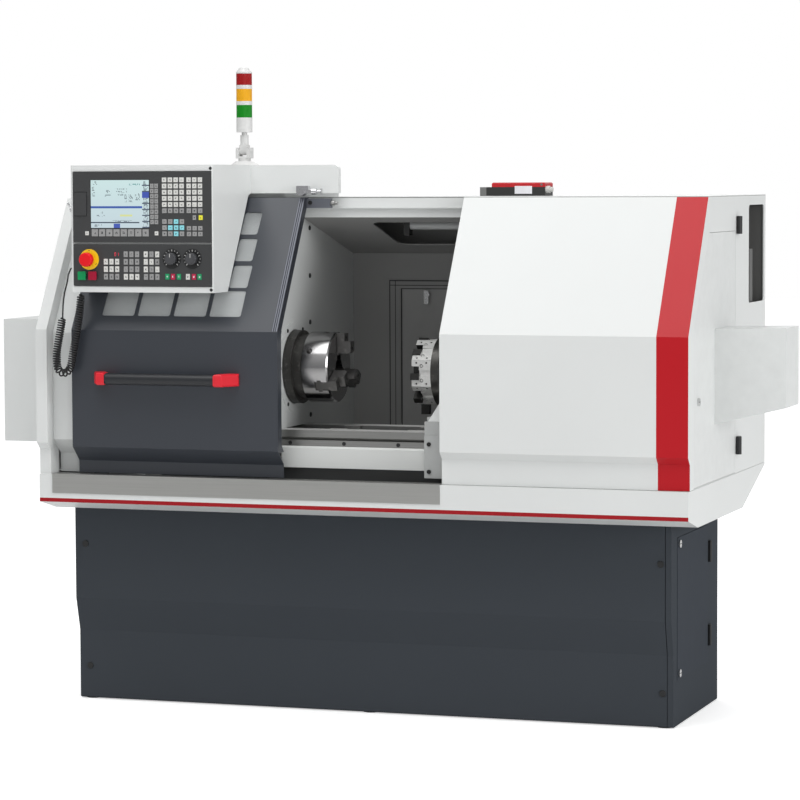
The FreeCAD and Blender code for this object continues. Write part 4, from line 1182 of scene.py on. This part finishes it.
rearSetup = {
    "face": 722, "radius": 5.0, "stand": 2.2,
    "x": (14, 470, 780), "z": (700, 940, 1180, 1420),
    "lock": (935, 719.9, 1100), "key": ((932, 723.5, 1082), (938, 730, 1118)),
}


def rearScrews(finishes):
    # dome heads along the rear sheet's edges and a turn lock on the rear door's outer side
    s = rearSetup
    bm = bmesh.new()
    for z in s["z"]:
        for x in s["x"]:
            stub(bm, at(x, s["face"], z), (0, 1, 0), s["radius"] / 1000, s["stand"] / 1000, 0.001, 20,
                 socket=(0.0018, 0.0014))
    settle("rear_screw_heads", bm, [finishes["black"]], "machine")
    bm = bmesh.new()
    stub(bm, at(*s["lock"]), (0, 1, 0), 0.016, 0.004, 0.0014, 32)
    block(bm, at(*s["key"][0]), at(*s["key"][1]), 0.0015)
    settle("rear_door_lock", bm, [finishes["black"]], "rear_door")


jawSetup = {"face": 852, "screws": ((54, 0.012), (84, 0.005)), "radius": 0.0056, "socket": (0.0026, 0.003)}


def jawScrews(finishes):
    # cap screws sunk in the top jaws: height over the axis, and depth
    s = jawSetup
    y, z = turningLine
    axis = at(704, y, z)
    for number in range(3):
        bm = bmesh.new()
        spin = Matrix.Rotation(math.radians(120 * number), 4, "X")
        turn = Matrix.Translation(axis) @ spin @ Matrix.Translation(-axis)
        for height, depth in s["screws"]:
            spot = at(s["face"], y, z + height)
            stub(bm, spot, (1, 0, 0), s["radius"], depth, 0.0008, 20, socket=s["socket"])
        bmesh.ops.transform(bm, matrix=turn, verts=bm.verts)
        name, body = "jaw_screws_%d" % (number + 1), "chuck_jaw_%d" % (number + 1)
        settle(name, bm, [finishes["black"]], body)


turretSetup = {
    "left": 1004, "reach": 92.0, "stations": 8,
    "ball": 3.6, "ballPlace": (29, 21, 4.9),                   # along, to the side and below the facet
    "small": 2.7, "smallPlaces": ((14, 30, 7.9), (44, 30, 7.9)),
}


def turretDetail(finishes):
    # round-headed clamp screws in the counterbores and sunk dark screws at each land's ends
    s = turretSetup
    x, (y, z) = s["left"], turretAxis
    hub, up = at(x, y, z), (0, 0, 1)
    top = z + s["reach"]
    one = bmesh.new()
    for side in (-1, 1):
        along, aside, below = s["ballPlace"]
        ball = at(x + along, y + side * aside, top - below)
        stub(one, ball, up, 0.0051, 0.001, 0.0, 24, 1)
        stub(one, ball, up, s["ball"] / 1000, 0.0042, 0.0018, 24, 0, socket=(0.0012, 0.0014))
        for along, aside, below in s["smallPlaces"]:
            foot = at(x + along, y + side * aside, top - below)
            stub(one, foot, up, s["small"] / 1000, 0.0066, 0.0004, 16, 1, socket=(0.0013, 0.002))
    station = bpy.data.meshes.new("station")
    one.to_mesh(station)
    one.free()
    bm = bmesh.new()
    step = Matrix.Rotation(2 * math.pi / s["stations"], 4, "X")
    turn = Matrix.Translation(hub) @ step @ Matrix.Translation(-hub)
    for number in range(s["stations"]):
        bm.from_mesh(station)
        station.transform(turn)
    bpy.data.meshes.remove(station)
    settle("turret_clamp_screws", bm, [finishes["tool"], finishes["black"]], "turret")


coverScrews(finishes)
panelKeys()
screenDisplay(finishes)
dialMarks()
ribbedKnobs(finishes)
digitDisplay(finishes)
stopMarks(finishes)
boxHook(finishes)
roofLabel()
rearDoorSeal(finishes)
rearScrews(finishes)
jawScrews(finishes)
turretDetail(finishes)
print("details made")


floorSetup = {"size": 30, "glow": 0.52, "dark": (0.88, 0.88, 0.88, 1), "pale": (0.9, 0.9, 0.9, 1)}


def makeFloor():
    # pale paper whose glow only the camera sees
    s = floorSetup
    bm = bmesh.new()
    bmesh.ops.create_grid(bm, x_segments=1, y_segments=1, size=s["size"])
    mesh = bpy.data.meshes.new("studioFloor")
    bm.to_mesh(mesh)
    bm.free()
    finish = Finish("floorPaper", roughness=0.9, emissionStrength=s["glow"])
    paper = finish.mix(finish.grain(3, 2.0), s["dark"], s["pale"])
    seen = finish.node("ShaderNodeLightPath", output="Is Camera Ray")
    finish.feed(baseColor=paper, emissionColor=finish.mix(seen, (0, 0, 0, 1), paper))
    mesh.materials.append(finish.material)
    floor = bpy.data.objects.new("studioFloor", mesh)
    bpy.context.collection.objects.link(floor)


makeFloor()
print("floor laid")
